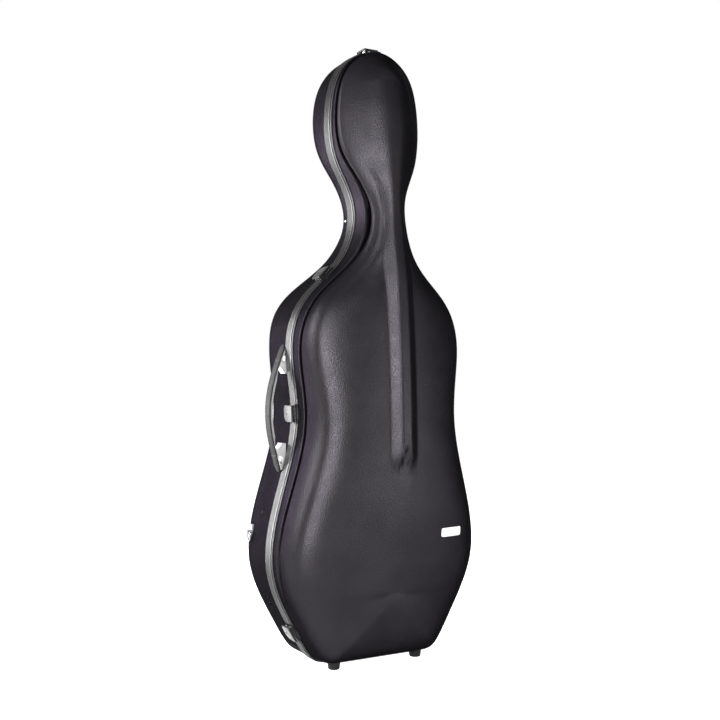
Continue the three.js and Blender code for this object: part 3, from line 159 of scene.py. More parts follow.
class CaseStudioSettings(bpy.types.PropertyGroup):
    """Lights and floor of the studio"""
    floor_colour: bpy.props.FloatVectorProperty(
        name="Floor Colour", description="Colour of the floor", subtype="COLOR", default=(.85, .85, .85))
    key_power: bpy.props.FloatProperty(
        name="Key Light", description="Power of the large light at the left", default=190)
    fill_power: bpy.props.FloatProperty(
        name="Fill Light", description="Power of the light near the camera", default=290)
    rim_power: bpy.props.FloatProperty(
        name="Side Light", description="Power of the light at the right", default=56)
    back_power: bpy.props.FloatProperty(
        name="Back Light", description="Power of the light behind the case", default=360)
    side_power: bpy.props.FloatProperty(
        name="Right Side Light", description="Power of the small light on the hinge side", default=24)
    world_level: bpy.props.FloatProperty(
        name="World", description="Brightness of the surroundings on matt surfaces", default=.1)


def settings():
    return bpy.context.scene.cello_case


class CelloCaseSettings(bpy.types.PropertyGroup):
    """All settings of the cello case"""
    shell: bpy.props.PointerProperty(type=CaseShellSettings)
    trim: bpy.props.PointerProperty(type=CaseTrimSettings)
    padding: bpy.props.PointerProperty(type=CasePaddingSettings)
    studio: bpy.props.PointerProperty(type=CaseStudioSettings)


# Curves and surfaces of the case, in millimetres

def case_height():
    return settings().shell.height / MM


def height_at(share):
    return FOOT_HEIGHT + share * case_height()


def share_at(z):
    return (z - FOOT_HEIGHT) / case_height()


def ease(t):
    """A smooth step from nought to one."""
    t = np.clip(t, 0, 1)
    return t * t * (3 - 2 * t)


def along(table, share):
    """The value of a table of shares at a place along the case, as a smooth curve through its rows."""
    x, y = np.array(table, float).T
    slope = np.empty(len(x))
    slope[1:-1] = (y[2:] - y[:-2]) / (x[2:] - x[:-2])
    slope[0] = (y[1] - y[0]) / (x[1] - x[0])
    slope[-1] = (y[-1] - y[-2]) / (x[-1] - x[-2])
    k = np.clip(np.searchsorted(x, share) - 1, 0, len(x) - 2)
    span = x[k + 1] - x[k]
    t = np.clip((share - x[k]) / span, 0, 1)
    entry = t * (1 - t) ** 2 * span * slope[k]
    leave = t * t * (t - 1) * span * slope[k + 1]
    return y[k] + (y[k + 1] - y[k]) * t * t * (3 - 2 * t) + entry + leave


def net_point(index):
    """A point of the outline's control net, mirrored past both ends of its half."""
    last = len(OUTLINE_NET) - 1
    width, across, up = OUTLINE_NET[last - abs(last - abs(index))]
    side = -1 if index < 0 or index > last else 1
    return side * across * width / 2, height_at(up)


def outline_at(u):
    """Points of the outline at places along its control net, as a smooth curve."""
    k = np.floor(u).astype(int)
    t = u - k
    weights = [(1 - t) ** 3, 3 * t ** 3 - 6 * t * t + 4, -3 * t ** 3 + 3 * t * t + 3 * t + 1, t ** 3]
    points = np.zeros((len(u), 2))
    for i, weight in enumerate(weights):
        points += weight[:, None] / 6 * np.array([net_point(int(j)) for j in k - 1 + i])
    return points


class Stations:
    """Places once round the case, with their inward direction and nearest point of the middle line."""

    def __init__(self):
        u = np.arange(PER_SIDE + 1) * (len(OUTLINE_NET) - 1) / PER_SIDE
        step = .02
        point = outline_at(u)
        ahead = outline_at(u + step) - outline_at(u - step)
        inward = np.stack([ahead[:, 1], -ahead[:, 0]], 1)
        inward /= np.linalg.norm(inward, axis=1)[:, None]
        point[[0, -1], 0] = 0
        inward[[0, -1], 0] = 0
        mirror = np.array([-1, 1])
        self.point = np.concatenate([point, point[-2::-1] * mirror])
        self.inward = np.concatenate([inward, inward[-2::-1] * mirror])
        self.spine = np.stack([np.zeros(len(self.point)),
                               np.clip(self.point[:, 1], *map(height_at, SPINE))], 1)
        self.reach = np.linalg.norm(self.point - self.spine, axis=1)
        self.share = share_at(self.point[:, 1])

    def at(self, inward, depth, sign):
        """A row of points at an inward distance and a depth from the parting plane."""
        flat = self.point + self.inward * np.broadcast_to(inward, self.reach.shape)[:, None]
        return np.stack([flat[:, 0], sign * np.broadcast_to(depth, self.reach.shape), flat[:, 1]], 1)


def lid_rows(stations, start=SET_BACK, groove=True):
    """The lid's outer face: side band, groove, rounded lip, dome and ridge."""
    share = stations.share
    band = BAND_DEPTH * along(BANDS, share)
    lip = band + GROOVE_WIDTH * along(GROOVE_WIDTHS, share) + LIP_WIDTH
    fade = np.maximum(0, along(GROOVE_FADES, share)) * settings().shell.groove_depth / MM
    side = LID_SIDE_DEPTH * along(LID_SIDES, share)
    radius = EDGE_ROUND * stations.reach / np.hypot(stations.reach, EDGE_ROUND)
    places = [start + (band - start) * t for t in np.linspace(0, 1, BAND_ROWS + 1)[:-1]]
    places += [band + (lip - band) * t for t in np.linspace(0, 1, LIP_ROWS + 1)[:-1]]
    rows = []
    for depth in places:
        hollow = ease((depth - band) / GROOVE_ENTRY) * ease((lip - depth) / GROOVE_EXIT)
        dip = fade * hollow if groove else fade
        rows.append(stations.at(LIP_INSET * depth / lip + dip, depth, -1))
    rise = (side - lip) / math.sin(LID_TURN)
    roll = []
    for turn in np.linspace(0, LID_TURN, ROLL_ROWS):
        inset = LIP_INSET + (0 if groove else fade * (1 - turn / LID_TURN))
        roll.append(stations.at(inset + radius * (1 - math.cos(turn)), lip + rise * math.sin(turn), -1))
    dome = full_dome(stations, np.array(roll), rise, radius)
    return np.array(rows + dome[:ROLL_ROWS] + [with_ridge(stations, row) for row in dome[ROLL_ROWS:]])


def with_ridge(stations, row):
    """A row of the dome with the ridge on it: a narrow flat crest between two smooth flanks."""
    rise = settings().shell.ridge_height / MM * np.maximum(0, along(RIDGES, share_at(stations.spine[:, 1])))
    distance = np.hypot(row[:, 0], row[:, 2] - stations.spine[:, 1])
    across = distance / np.minimum(RIDGE_HALF_WIDTH, stations.reach * RIDGE_REACH_SHARE)
    crest = 1 - ease((across - RIDGE_CREST_SHARE) / (1 - RIDGE_CREST_SHARE))
    end = RIDGE_END + RIDGE_NOTCH * np.clip(1 - np.abs(row[:, 0]) / NOTCH_HALF_WIDTH, 0, 1)
    row = row.copy()
    row[:, 1] -= rise * crest * ease((row[:, 2] - end) / RIDGE_FADE)
    return row


def filled(step, depth):
    """A profile's depths with each hollow bridged by a straight line."""
    hull = [0]
    for k in range(1, len(step)):
        while len(hull) > 1 and ((depth[hull[-1]] - depth[hull[-2]]) * (step[k] - step[hull[-2]])
                                 <= (depth[k] - depth[hull[-2]]) * (step[hull[-1]] - step[hull[-2]])):
            hull.pop()
        hull.append(k)
    return np.interp(step, step[hull], depth[hull])


def eased_profile(step, depth):
    """Evenly spaced places along a profile, and its filled depths there, smoothed behind its first part."""
    dense = np.linspace(0, step[-1], PROFILE_POINTS)
    plain = np.interp(dense, step, filled(step, depth))
    half = int(np.clip(SMOOTHING / dense[1], *SMOOTHING_LIMITS))
    kernel = np.hanning(2 * half + 1)
    kernel /= kernel.sum()
    padded = np.concatenate([2 * plain[0] - plain[half:0:-1], plain, plain[-2:-half - 2:-1]])
    mix = ease(np.linspace(0, 1, PROFILE_POINTS) / .16)
    return dense, plain * (1 - mix) + np.convolve(padded, kernel, "valid") * mix


def full_dome(stations, roll, rise, radius):
    """The rolled edge and the dome up to the middle line, with every hollow between them filled."""
    edge = roll[-1]
    flat = edge[:, [0, 2]]
    reach = np.linalg.norm(flat - stations.spine, axis=1)
    edge_depth = -edge[:, 1]
    crown = LID_CROWN_DEPTH * along(LID_CROWNS, share_at(stations.spine[:, 1]))
    slope = rise * math.cos(LID_TURN) / (radius * math.sin(LID_TURN))
    fine = []
    for s in np.concatenate([np.linspace(0, 1, FINE_ROWS + 1)[1:-1] ** 1.15, [1]]):
        p = stations.spine + (flat - stations.spine) * (1 - s)
        bump = np.maximum(0, slope * reach - DOME_POWER * (crown - edge_depth)) * s * (1 - s) ** 5
        depth = edge_depth + (crown - edge_depth) * (1 - (1 - s) ** DOME_POWER) + bump
        fine.append(np.stack([p[:, 0], -depth, p[:, 1]], 1))
    table = np.concatenate([roll, np.array(fine)])
    result = np.empty((ROLL_ROWS + DOME_ROWS + RIDGE_ROWS, *edge.shape))
    for i in range(len(edge)):
        line = table[:, i]
        step = np.concatenate([[0], np.cumsum(np.hypot(*np.diff(line[:, [0, 2]], axis=0).T))])
        dense, smoothed = eased_profile(step, -line[:, 1])
        foot = min(RIDGE_HALF_WIDTH, stations.reach[i] * RIDGE_REACH_SHARE)
        roll_end = step[ROLL_ROWS - 1]
        foot_at = max(roll_end + .25 * (step[-1] - roll_end), step[-1] - foot)
        at = np.concatenate([step[:ROLL_ROWS],
                             roll_end + (foot_at - roll_end) * np.linspace(0, 1, DOME_ROWS + 1)[1:],
                             foot_at + (step[-1] - foot_at) * np.linspace(0, 1, RIDGE_ROWS + 1)[1:]])
        for axis in (0, 2):
            result[:, i, axis] = np.interp(at, step, line[:, axis])
        result[:, i, 1] = -np.interp(at, dense, smoothed)
    return list(evened(result))


def evened(rows):
    """The rows with their depths smoothed round the case, less towards the ridge and at the first rows."""
    loop = rows[:, :-1, 1]
    spread = round(EVEN_STATIONS * loop.shape[1] / (2 * PER_SIDE))
    weights = np.hanning(2 * spread + 1)[1:-1]
    even = sum(w * np.roll(loop, k - spread + 1, axis=1) for k, w in enumerate(weights / weights.sum()))
    row = np.arange(len(rows))
    mix = (np.clip(row / ROLL_ROWS, 0, 1) * ease((EVEN_UNTIL - row) / EVEN_FADE))[:, None]
    loop = loop * (1 - mix) + even * mix
    rows[:, :, 1] = np.concatenate([loop, loop[:, :1]], axis=1)
    return rows


def base_rows(stations, start=SET_BACK):
    """The base's outer face: drawn side walls, a wide rounding and a gently crowned back."""
    depth_of = BASE_DEPTH * along(BASE_DEPTHS, stations.share)
    radius = BASE_ROUND * stations.reach / np.hypot(stations.reach, BASE_ROUND)
    straight = depth_of - radius
    rows = [stations.at(DRAFT * (start + (straight - start) * t), start + (straight - start) * t, 1)
            for t in np.linspace(0, 1, 8)[:-1]]
    for turn in np.linspace(0, BASE_TURN, 15):
        rows.append(stations.at(DRAFT * straight + radius * (1 - math.cos(turn)),
                                straight + radius * math.sin(turn), 1))
    edge_depth = rows[-1][:, 1]
    edge_slope = math.cos(BASE_TURN) / math.sin(BASE_TURN)
    middle = BASE_DEPTH * along(BASE_DEPTHS, share_at(stations.spine[:, 1])) + BASE_CROWN
    flat = rows[-1][:, [0, 2]]
    reach = np.linalg.norm(flat - stations.spine, axis=1)
    for t in np.linspace(0, 1, 20)[1:]:
        distance = reach * (1 - t)
        p = stations.spine + (flat - stations.spine) * (distance / reach)[:, None]
        s = 1 - distance / reach
        bump = (edge_slope * reach - BACK_POWER * (middle - edge_depth)) * s * (1 - s) ** 5
        depth = middle + (edge_depth - middle) * (1 - s) ** BACK_POWER + bump
        rows.append(np.stack([p[:, 0], depth, p[:, 1]], 1))
    return np.array(rows)


def half_width_at(z):
    """Half the outline's width at a height."""
    sides = Stations()
    half = slice(0, PER_SIDE + 1)
    return float(np.interp(z, sides.point[half][::-1, 1], sides.point[half][::-1, 0]))


# Mesh helpers

MERGE_DISTANCE = .00002


def deselect():
    bpy.ops.object.select_all(action="DESELECT")


def edit(*steps):
    """Runs edit-mode steps on the active piece with all of it selected."""
    bpy.ops.object.mode_set(mode="EDIT")
    bpy.ops.mesh.select_all(action="SELECT")
    for step in steps:
        step()
    bpy.ops.object.mode_set(mode="OBJECT")


def merge():
    bpy.ops.mesh.remove_doubles(threshold=MERGE_DISTANCE)


def face_outward():
    bpy.ops.mesh.normals_make_consistent(inside=False)


def smooth(angle=40):
    bpy.ops.object.shade_smooth_by_angle(angle=math.radians(angle))


def apply_modifier(piece, kind, **values):
    modifier = piece.modifiers.new(kind.title(), kind)
    for key, value in values.items():
        setattr(modifier, key, value)
    bpy.ops.object.modifier_apply(modifier=modifier.name)


def activate(piece):
    deselect()
    piece.select_set(True)
    bpy.context.view_layer.objects.active = piece


def moved(piece, matrix):
    """Moves a piece's mesh to its place in the case."""
    piece.data.transform(matrix)
    piece.data.update()
    return piece


def surface(name, points, angle=40):
    """A skin of quads in metres through a table of points in millimetres, closed where its edges meet."""
    deselect()
    rows, columns = points.shape[:2]
    bpy.ops.mesh.primitive_grid_add(x_subdivisions=columns - 1, y_subdivisions=rows - 1, size=1)
    piece = bpy.context.object
    piece.name = piece.data.name = name
    count = len(piece.data.vertices)
    if count != rows * columns:
        raise RuntimeError(f"{name}: the grid has {count} points in place of {rows * columns}")
    grid = np.empty(count * 3)
    piece.data.vertices.foreach_get("co", grid)
    grid = grid.reshape(-1, 3).round(6)
    order = np.lexsort((grid[:, 0], grid[:, 1]))
    target = np.empty((count, 3))
    target[order] = points.reshape(-1, 3) * MM
    piece.data.vertices.foreach_set("co", target.ravel())
    piece.data.update()
    edit(merge, face_outward)
    smooth(angle)
    return piece


def turned_outward(piece, sign):
    """Turns an open half shell's faces away from the parting plane."""
    facing = sum(polygon.normal.y * polygon.area for polygon in piece.data.polygons)
    if facing * sign < 0:
        activate(piece)
        edit(bpy.ops.mesh.flip_normals)
    return piece


def squared_circle(angle, power):
    """A point on a unit square with round corners, rounder for a lower power."""
    c, s = math.cos(angle), math.sin(angle)
    scale = 1 / (abs(c) ** power + abs(s) ** power) ** (1 / power)
    return c * scale, s * scale


def with_ends(table):
    """Closes a table of rings at both ends, each to its ring's middle."""
    ends = [np.broadcast_to(ring[:-1].mean(0), ring.shape) for ring in (table[0], table[-1])]
    return np.concatenate([ends[:1], table, ends[1:]])


def capped(rings):
    """A closed table from open rings: each ring is closed, then both ends are."""
    table = np.array(rings)
    return with_ends(np.concatenate([table, table[:, :1]], 1))


def tube(name, path, radius):
    """A round wire along a closed path of points in millimetres."""
    path = [Vector(p) for p in path]
    rings = []
    normal = None
    for i, centre in enumerate(path):
        tangent = (path[(i + 1) % len(path)] - path[i - 1]).normalized()
        if normal is None:
            normal = tangent.orthogonal()
        normal = (normal - tangent * normal.dot(tangent)).normalized()
        across = tangent.cross(normal)
        rings.append([centre + (normal * math.cos(a) + across * math.sin(a)) * radius
                      for a in np.linspace(0, 2 * math.pi, 15)])
    return surface(name, np.array(rings + rings[:1]))


def frame_at(origin, x_axis, y_axis):
    """A right-handed frame in metres from an origin and two axes."""
    x = Vector(x_axis).normalized()
    z = x.cross(Vector(y_axis)).normalized()
    y = z.cross(x)
    matrix = Matrix((x, y, z)).transposed().to_4x4()
    matrix.translation = Vector(origin)
    return matrix


def joint_named(name):
    return next(j for j in frame["joints"] if j["name"] == name)


# Materials

class Finish:
    """A node material that starts with a Principled shader and grows by named layers."""

    def __init__(self, name, colour, roughness, metallic=0, **sockets):
        self.material = bpy.data.materials.new(name)
        self.material.use_nodes = True
        self.nodes = self.material.node_tree.nodes
        self.links = self.material.node_tree.links
        self.shader = next(n for n in self.nodes if n.type == "BSDF_PRINCIPLED")
        self.shader.inputs["Base Color"].default_value = (*colour, 1)
        self.shader.inputs["Roughness"].default_value = roughness
        self.shader.inputs["Metallic"].default_value = metallic
        for socket, value in sockets.items():
            self.shader.inputs[socket.replace("_", " ")].default_value = value
        self.colour = colour
        self.roughness = roughness
        self.coordinates = self.add("ShaderNodeTexCoord")
        self.bump = None

    def add(self, kind, **values):
        """A new node with its sockets, or else its own settings, set to the values."""
        node = self.nodes.new(kind)
        for key, value in values.items():
            if key in node.inputs:
                node.inputs[key].default_value = value
            else:
                setattr(node, key, value)
        return node

    def noise(self, scale, detail=3, roughness=.5):
        node = self.add("ShaderNodeTexNoise", Scale=scale, Detail=detail, Roughness=roughness)
        self.links.new(self.coordinates.outputs["Object"], node.inputs["Vector"])
        return node.outputs["Fac"]

    def cells(self, scale):
        node = self.add("ShaderNodeTexVoronoi", Scale=scale)
        self.links.new(self.coordinates.outputs["Object"], node.inputs["Vector"])
        return node.outputs["Distance"]

    def waves(self, scale, distortion=0, direction="Z", output="Object"):
        node = self.add("ShaderNodeTexWave", bands_direction=direction, Scale=scale, Distortion=distortion)
        self.links.new(self.coordinates.outputs[output], node.inputs["Vector"])
        return node.outputs["Fac"]

    def ranged(self, value, low, high, start=.3, stop=.7):
        """A value between start and stop, spread from low to high."""
        node = self.add("ShaderNodeMapRange")
        for key, number in (("From Min", start), ("From Max", stop), ("To Min", low), ("To Max", high)):
            node.inputs[key].default_value = number
        self.links.new(value, node.inputs["Value"])
        return node.outputs["Result"]

    def vary_colour(self, value, amount, start=.3, stop=.7):
        """Mixes between a darker and a lighter tone of the colour."""
        mix = self.add("ShaderNodeMix", data_type="RGBA")
        mix.inputs[6].default_value = (*(c * (1 - amount) for c in self.colour), 1)
        mix.inputs[7].default_value = (*(min(1, c * (1 + amount)) for c in self.colour), 1)
        self.links.new(self.ranged(value, 0, 1, start, stop), mix.inputs[0])
        self.links.new(mix.outputs[2], self.shader.inputs["Base Color"])

    def vary_roughness(self, value, amount):
        low, high = self.roughness - amount, min(1, self.roughness + amount)
        self.links.new(self.ranged(value, low, high), self.shader.inputs["Roughness"])

    def axis(self, name, output):
        """One axis of a texture coordinate."""
        split = self.add("ShaderNodeSeparateXYZ")
        self.links.new(self.coordinates.outputs[output], split.inputs[0])
        return split.outputs[name]

    def paint_groove_shade(self):
        """Paints shade into the rows of the groove as a darker colour, fading out towards the foot of the lid.
        """
        row = self.axis("Y", "UV")
        start, full, late, stop = (each / LID_ROWS for each in GROOVE_ROWS)
        mask = self.multiplied(self.ranged(row, 0, 1, start, full), self.ranged(row, 1, 0, late, stop))
        mask = self.multiplied(mask, self.ranged(self.axis("Z", "Object"), 0, 1, *GROOVE_FOOT))
        self.mix_over(mask, GROOVE_PAINTED_SHADE)

    def mix_over(self, mask, colour):
        """Lays another colour over the colour that varies so far."""
        source = self.shader.inputs["Base Color"].links[0].from_socket
        mix = self.add("ShaderNodeMix", data_type="RGBA")
        self.links.new(mask, mix.inputs[0])
        self.links.new(source, mix.inputs[6])
        mix.inputs[7].default_value = (*colour, 1)
        self.links.new(mix.outputs[2], self.shader.inputs["Base Color"])

    def multiplied(self, first, second):
        node = self.add("ShaderNodeMath", operation="MULTIPLY")
        self.links.new(first, node.inputs[0])
        self.links.new(second, node.inputs[1])
        return node.outputs[0]

    def relief(self, value, depth, strength=1.0):
        """Adds a layer of surface relief, its depth in millimetres."""
        node = self.add("ShaderNodeBump")
        node.inputs["Strength"].default_value = strength
        node.inputs["Distance"].default_value = depth * MM
        self.links.new(value, node.inputs["Height"])
        if self.bump:
            self.links.new(self.bump.outputs["Normal"], node.inputs["Normal"])
        self.links.new(node.outputs["Normal"], self.shader.inputs["Normal"])
        self.bump = node


# The lid's groove: rows where it starts, is full, is last full and stops, heights in metres over which its
# painted shade fades in from the foot, and the colour of that painted shade
GROOVE_ROWS = (5, 6.4, 20.2, 21.4)
GROOVE_FOOT = (.12, .34)
GROOVE_PAINTED_SHADE = (.0012, .001, .0013)

# The share of the silver rim's outline that is its lip, with a soft end, and how much brighter the highlight
# painted on that lip is
RIM_LIP, LIP_HIGHLIGHT_GAIN = (.07, .09), 3.2


def shell_finish(groove=False):
    """Satin black plastic with an embossed grain. With groove set, shade is painted into the lid's groove as a
    darker colour.
    """
    shell = settings().shell
    f = Finish("embossed_black_plastic", tuple(shell.colour), .37, .82, Specular_IOR_Level=0,
               Specular_Tint=(.12, .12, .12, 1))
    grain = 1 / shell.grain
    f.vary_colour(f.noise(9, 4), .12)
    f.vary_roughness(f.noise(30, 5), .04)
    f.relief(f.noise(grain * .8, 2, .5), .35, .5)
    f.relief(f.cells(grain), .42, .8)
    if groove:
        # Painted shade: the groove's rows get a darker colour
        f.paint_groove_shade()
    return f.material


def layered_finish(name, colour, roughness, metallic=0, tone=(), gloss=(), skin=(), **sockets):
    """A finish with a layer each of varied colour, varied roughness and fine relief on noise."""
    f = Finish(name, colour, roughness, metallic, **sockets)
    f.vary_colour(f.noise(*tone[:2]), tone[2])
    f.vary_roughness(f.noise(*gloss[:2]), gloss[2])
    f.relief(f.noise(*skin[:2]), *skin[2:])
    return f.material


def silver_rim_finish():
    """Drawn aluminium with fine lines along it and a highlight painted on its lip as a brighter colour."""
    colour = tuple(settings().trim.rim_colour)
    f = Finish("drawn_aluminium", colour, .42, 1)
    f.vary_colour(f.waves(2.1, direction="Y", output="UV"), .3, 0, 1)
    # Painted highlight: the lip's rows get a brighter colour
    lip = f.ranged(f.axis("Y", "UV"), 1, 0, *RIM_LIP)
    f.mix_over(lip, tuple(LIP_HIGHLIGHT_GAIN * c for c in colour))
    f.vary_roughness(f.noise(260, 4), .07)
    f.relief(f.noise(1400, 2), .012, .4)
    return f.material


def lid_rim_finish():
    return layered_finish("black_rim_profile", (.008, .0075, .0085), .4, tone=(60, 4, .2), gloss=(90, 4, .06),
                          skin=(900, 2, .03, .5), Specular_IOR_Level=.1)


def nickel_finish(name, colour, roughness):
    return layered_finish(name, colour, roughness, 1, tone=(120, 4, .05), gloss=(420, 5, .06),
                          skin=(1800, 3, .008, .4))


def black_steel_finish():
    return layered_finish("black_steel", (.014, .0135, .015), .38, .6, tone=(150, 4, .25),
                          gloss=(380, 4, .08), skin=(1500, 3, .015, .5), Specular_IOR_Level=.05)


def rubber_finish():
    return layered_finish("black_rubber", (.004, .0037, .0042), .72, tone=(80, 4, .2), gloss=(200, 4, .08),
                          skin=(1300, 3, .03, .5), Specular_IOR_Level=.08)


def plush_finish(name, colour, pile=900):
    f = Finish(name, colour, .95, Specular_IOR_Level=.15, Sheen_Weight=.25, Sheen_Roughness=.4,
               Sheen_Tint=(.5, .52, .6, 1))
    f.vary_colour(f.noise(14, 6, .6), .14)
    f.relief(f.noise(45, 4), .5, .5)
    f.relief(f.noise(pile, 3, .7), .35, .8)
    return f.material


def webbing_finish():
    f = Finish("black_webbing", (.012, .012, .013), .8, Specular_IOR_Level=.25, Sheen_Weight=.2)
    f.vary_colour(f.waves(420, direction="Z"), .3, 0, 1)
    f.relief(f.waves(520, 1, direction="X"), .16, .8)
    f.relief(f.waves(420, 1, direction="Z"), .12, .8)
    return f.material


def band_finish(name, colour, pitch=700):
    f = Finish(name, colour, .5, Specular_IOR_Level=.02)
    f.vary_colour(f.noise(50, 5), .1)
    f.vary_roughness(f.noise(160, 4), .08)
    f.relief(f.cells(pitch), .07, .6)
    return f.material


finishes_made = {}


def finish(name):
    """The material of that name, made once."""
    makers = {
        "shell": shell_finish,
        # The lid's finish has shade painted into its groove
        "shell_with_painted_groove_shade": lambda: shell_finish(True),
        "lid_rim": lid_rim_finish,
        "silver_rim": silver_rim_finish,
        "latch": lambda: nickel_finish("stamped_nickel", (.016, .0158, .016), .42),
        "bright": lambda: nickel_finish("bright_nickel", (.62, .62, .625), .42),
        "strip": lambda: nickel_finish("polished_nickel", (.38, .38, .385), .36),
        "steel": lambda: nickel_finish("plain_steel", (.14, .14, .142), .38),
        "black_steel": black_steel_finish,
        "rubber": rubber_finish,
        "plush": lambda: plush_finish("plush_lining", tuple(settings().padding.plush_colour)),
        "velour": lambda: plush_finish("cushion_velour", (.012, .0125, .0155), 1300),
        "webbing": webbing_finish,
        "band": lambda: band_finish("handle_leathercloth", tuple(settings().trim.handle_colour)),
        "liner": lambda: band_finish("ribbed_liner", (.11, .108, .11), 500),
        "thread": lambda: band_finish("seam_thread", (.025, .024, .025), 1500),
        "plate": lambda: nickel_finish("plate_silver", (.4, .4, .405), .5),
    }
    if name not in finishes_made:
        finishes_made[name] = makers[name]()
    return finishes_made[name]


def finished(piece, name, body, slot_name, *nodes):
    """Gives a piece its material and its body, and hides the nodes that it stands for. The slot name is not
    used.
    """
    piece.data.materials.clear()
    piece.data.materials.append(finish(name))
    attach(piece, body)
    if nodes:
        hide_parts(*nodes)
    return piece


def dress(node_name, name, bevel=.0004, segments=2):
    """Gives a CAD node its material and rounds its sharp edges."""
    node = frame["nodes"][node_name]
    node.data.materials.clear()
    node.data.materials.append(finish(name))
    weld = node.modifiers.new("Weld", "WELD")
    weld.merge_threshold = MERGE_DISTANCE
    rounding = node.modifiers.new("Bevel", "BEVEL")
    rounding.width = bevel
    rounding.segments = segments
    rounding.limit_method = "ANGLE"
    rounding.angle_limit = math.radians(32)
    rounding.use_clamp_overlap = True


# Pieces

class CELLOCASE_OT_shells(bpy.types.Operator):
    """Model the lid and the base as thin moulded half shells"""
    bl_idname = "cello_case.shells"
    bl_label = "Shells"

    def execute(self, context):
        stations = Stations()
        for name, rows, sign, body in (("lid", lid_rows(stations), -1, "lid"),
                                       ("base", base_rows(stations), 1, "case")):
            piece = turned_outward(surface(f"{name}_moulding", rows, 60), sign)
            activate(piece)
            apply_modifier(piece, "SOLIDIFY", thickness=settings().shell.wall, offset=-1,
                           use_quality_normals=True)
            smooth(50)
            finished(piece, "shell_with_painted_groove_shade" if name == "lid" else "shell", body, "shell", f"{name}_shell")
        return {"FINISHED"}


class CELLOCASE_OT_linings(bpy.types.Operator):
    """Model the plush linings inside both halves"""
    bl_idname = "cello_case.linings"
    bl_label = "Linings"

    def execute(self, context):
        stations = Stations()
        start = RIM_INNER + GAP
        for name, rows, sign, body in (("lid", lid_rows(stations, start, groove=False), -1, "lid"),
                                       ("base", base_rows(stations, start), 1, "case")):
            piece = turned_outward(surface(f"{name}_plush", rows, 60), sign)
            activate(piece)
            apply_modifier(piece, "DISPLACE", strength=-(WALL + LINING_GAP) * MM, mid_level=0)
            apply_modifier(piece, "SOLIDIFY", thickness=settings().padding.lining, offset=-1,
                           use_quality_normals=True)
            keep_inside(piece, f"{name}_moulding", sign)
            level_rim(piece, sign * start * MM, sign)
            smooth(60)
            finished(piece, "plush", body, "lining", f"{name}_lining")
        return {"FINISHED"}


def keep_inside(piece, shell_name, sign):
    """Holds a soft piece of a half under its shell's wall."""
    shell = bpy.data.objects[shell_name]
    room = (WALL + 2 * GAP) * MM
    for vertex in piece.data.vertices:
        hit, point, _, _ = shell.ray_cast(Vector((vertex.co.x, sign, vertex.co.z)), Vector((0, -sign, 0)))
        if hit and (point.y - vertex.co.y) * sign < room:
            vertex.co.y = point.y - sign * room
    piece.data.update()


def level_rim(piece, y, sign):
    """Keeps a half's piece on its own side of a plane across it."""
    for vertex in piece.data.vertices:
        if (vertex.co.y - y) * sign < 0:
            vertex.co.y = y
    piece.data.update()


# The rims' sections in millimetres: half the gap between them, steps outwards and along y, ribs and seal
SPLIT, RIM_STEP, RIM_FACE, RIM_END, RIM_WEB = 1.2, 3, 1.7, 25.2, 1.8
RIB_DEPTH, RIB_START, RIB_PITCH, RIB_POINTS = .45, 5.4, 1.24, 16
SEAL_WIDTH = 3


def rim_piece(name, section, stations):
    """A piece of one section all round the case."""
    rows = [stations.at(-outward, y, 1) for outward, y in section + section[:1]]
    return surface(name, np.array(rows), 30)


def rounded_section(corners, radius, steps=3):
    """A closed section of [outward, y] corners with its corners rounded."""
    points = []
    count = len(corners)
    for i, corner in enumerate(corners):
        corner = Vector(corner)
        before = Vector(corners[i - 1]) - corner
        after = Vector(corners[(i + 1) % count]) - corner
        cut = min(radius, before.length * .45, after.length * .45)
        a, b = corner + before.normalized() * cut, corner + after.normalized() * cut
        for t in np.linspace(0, 1, steps + 1):
            points.append(tuple(a * (1 - t) ** 2 + corner * 2 * t * (1 - t) + b * t ** 2))
    return points


class CELLOCASE_OT_rims(bpy.types.Operator):
    """Model the silver base rim, the black lid rim and the seal between them"""
    bl_idname = "cello_case.rims"
    bl_label = "Rims"

    def execute(self, context):
        stations = Stations()
        inner = -WALL - GAP - 2 * DRAFT * RIM_INNER
        web = inner - RIM_WEB
        ribs = [(RIM_FACE - RIB_DEPTH * (k % 2), RIB_START + k * RIB_PITCH) for k in range(RIB_POINTS)]
        base = [(2.9, SPLIT), (2.9, 3.5), (2.5, 4.1), (RIM_FACE, 4.6)] + ribs
        base += [(RIM_FACE, RIM_END), (GAP, RIM_END), (GAP, RIM_STEP), (inner, RIM_STEP), (inner, RIM_INNER),
                 (web, RIM_INNER), (web, SPLIT)]
        lid = [(2.1, -SPLIT), (2.1, -RIM_STEP), (RIM_FACE, -3.4), (2.1, -3.8), (2.1, -5.4), (GAP, -5.4),
               (GAP, -RIM_STEP), (inner, -RIM_STEP), (inner, -RIM_INNER), (web, -RIM_INNER), (web, -SPLIT)]
        face = SPLIT - GAP
        seal = [(-GAP, -face), (-GAP, face), (-GAP - SEAL_WIDTH, face), (-GAP - SEAL_WIDTH, -face)]
        for name, section, material, body, slot_name, node in (
                ("silver_rim", rounded_section(base, .35, 2), "silver_rim", "case", "rim", "base_rim"),
                ("black_rim", rounded_section(lid, .3, 2), "lid_rim", "lid", "dark_rim", "lid_rim"),
                ("edge_seal", rounded_section(seal, .5), "rubber", "case", "rubber", "rim_seal")):
            finished(rim_piece(name, section, stations), material, body, slot_name, node)
        return {"FINISHED"}


LATCHES = ("top", "shoulder", "waist", "lower")

# The latch in its own frame in millimetres: its pin, and its lever plate's middle, size, slopes and corners
LATCH_PIN = (8.3, -5.5)
PLATE_MIDDLE, PLATE_THICK, PLATE_LONG, PLATE_SHEET = (9.65, -21.5), 5.3, 40, 1.3
PLATE_SLOPE, UNDER_SLOPE = 4.5, 2.4
TAIL_CHAMFER, NOSE_ROUND, EDGE_SOFTENING = 7.2, 2.6, 1.1
RIVET_SEAT, RIVET_SIZE = (9.2, -29, 0), (2.1, .8)


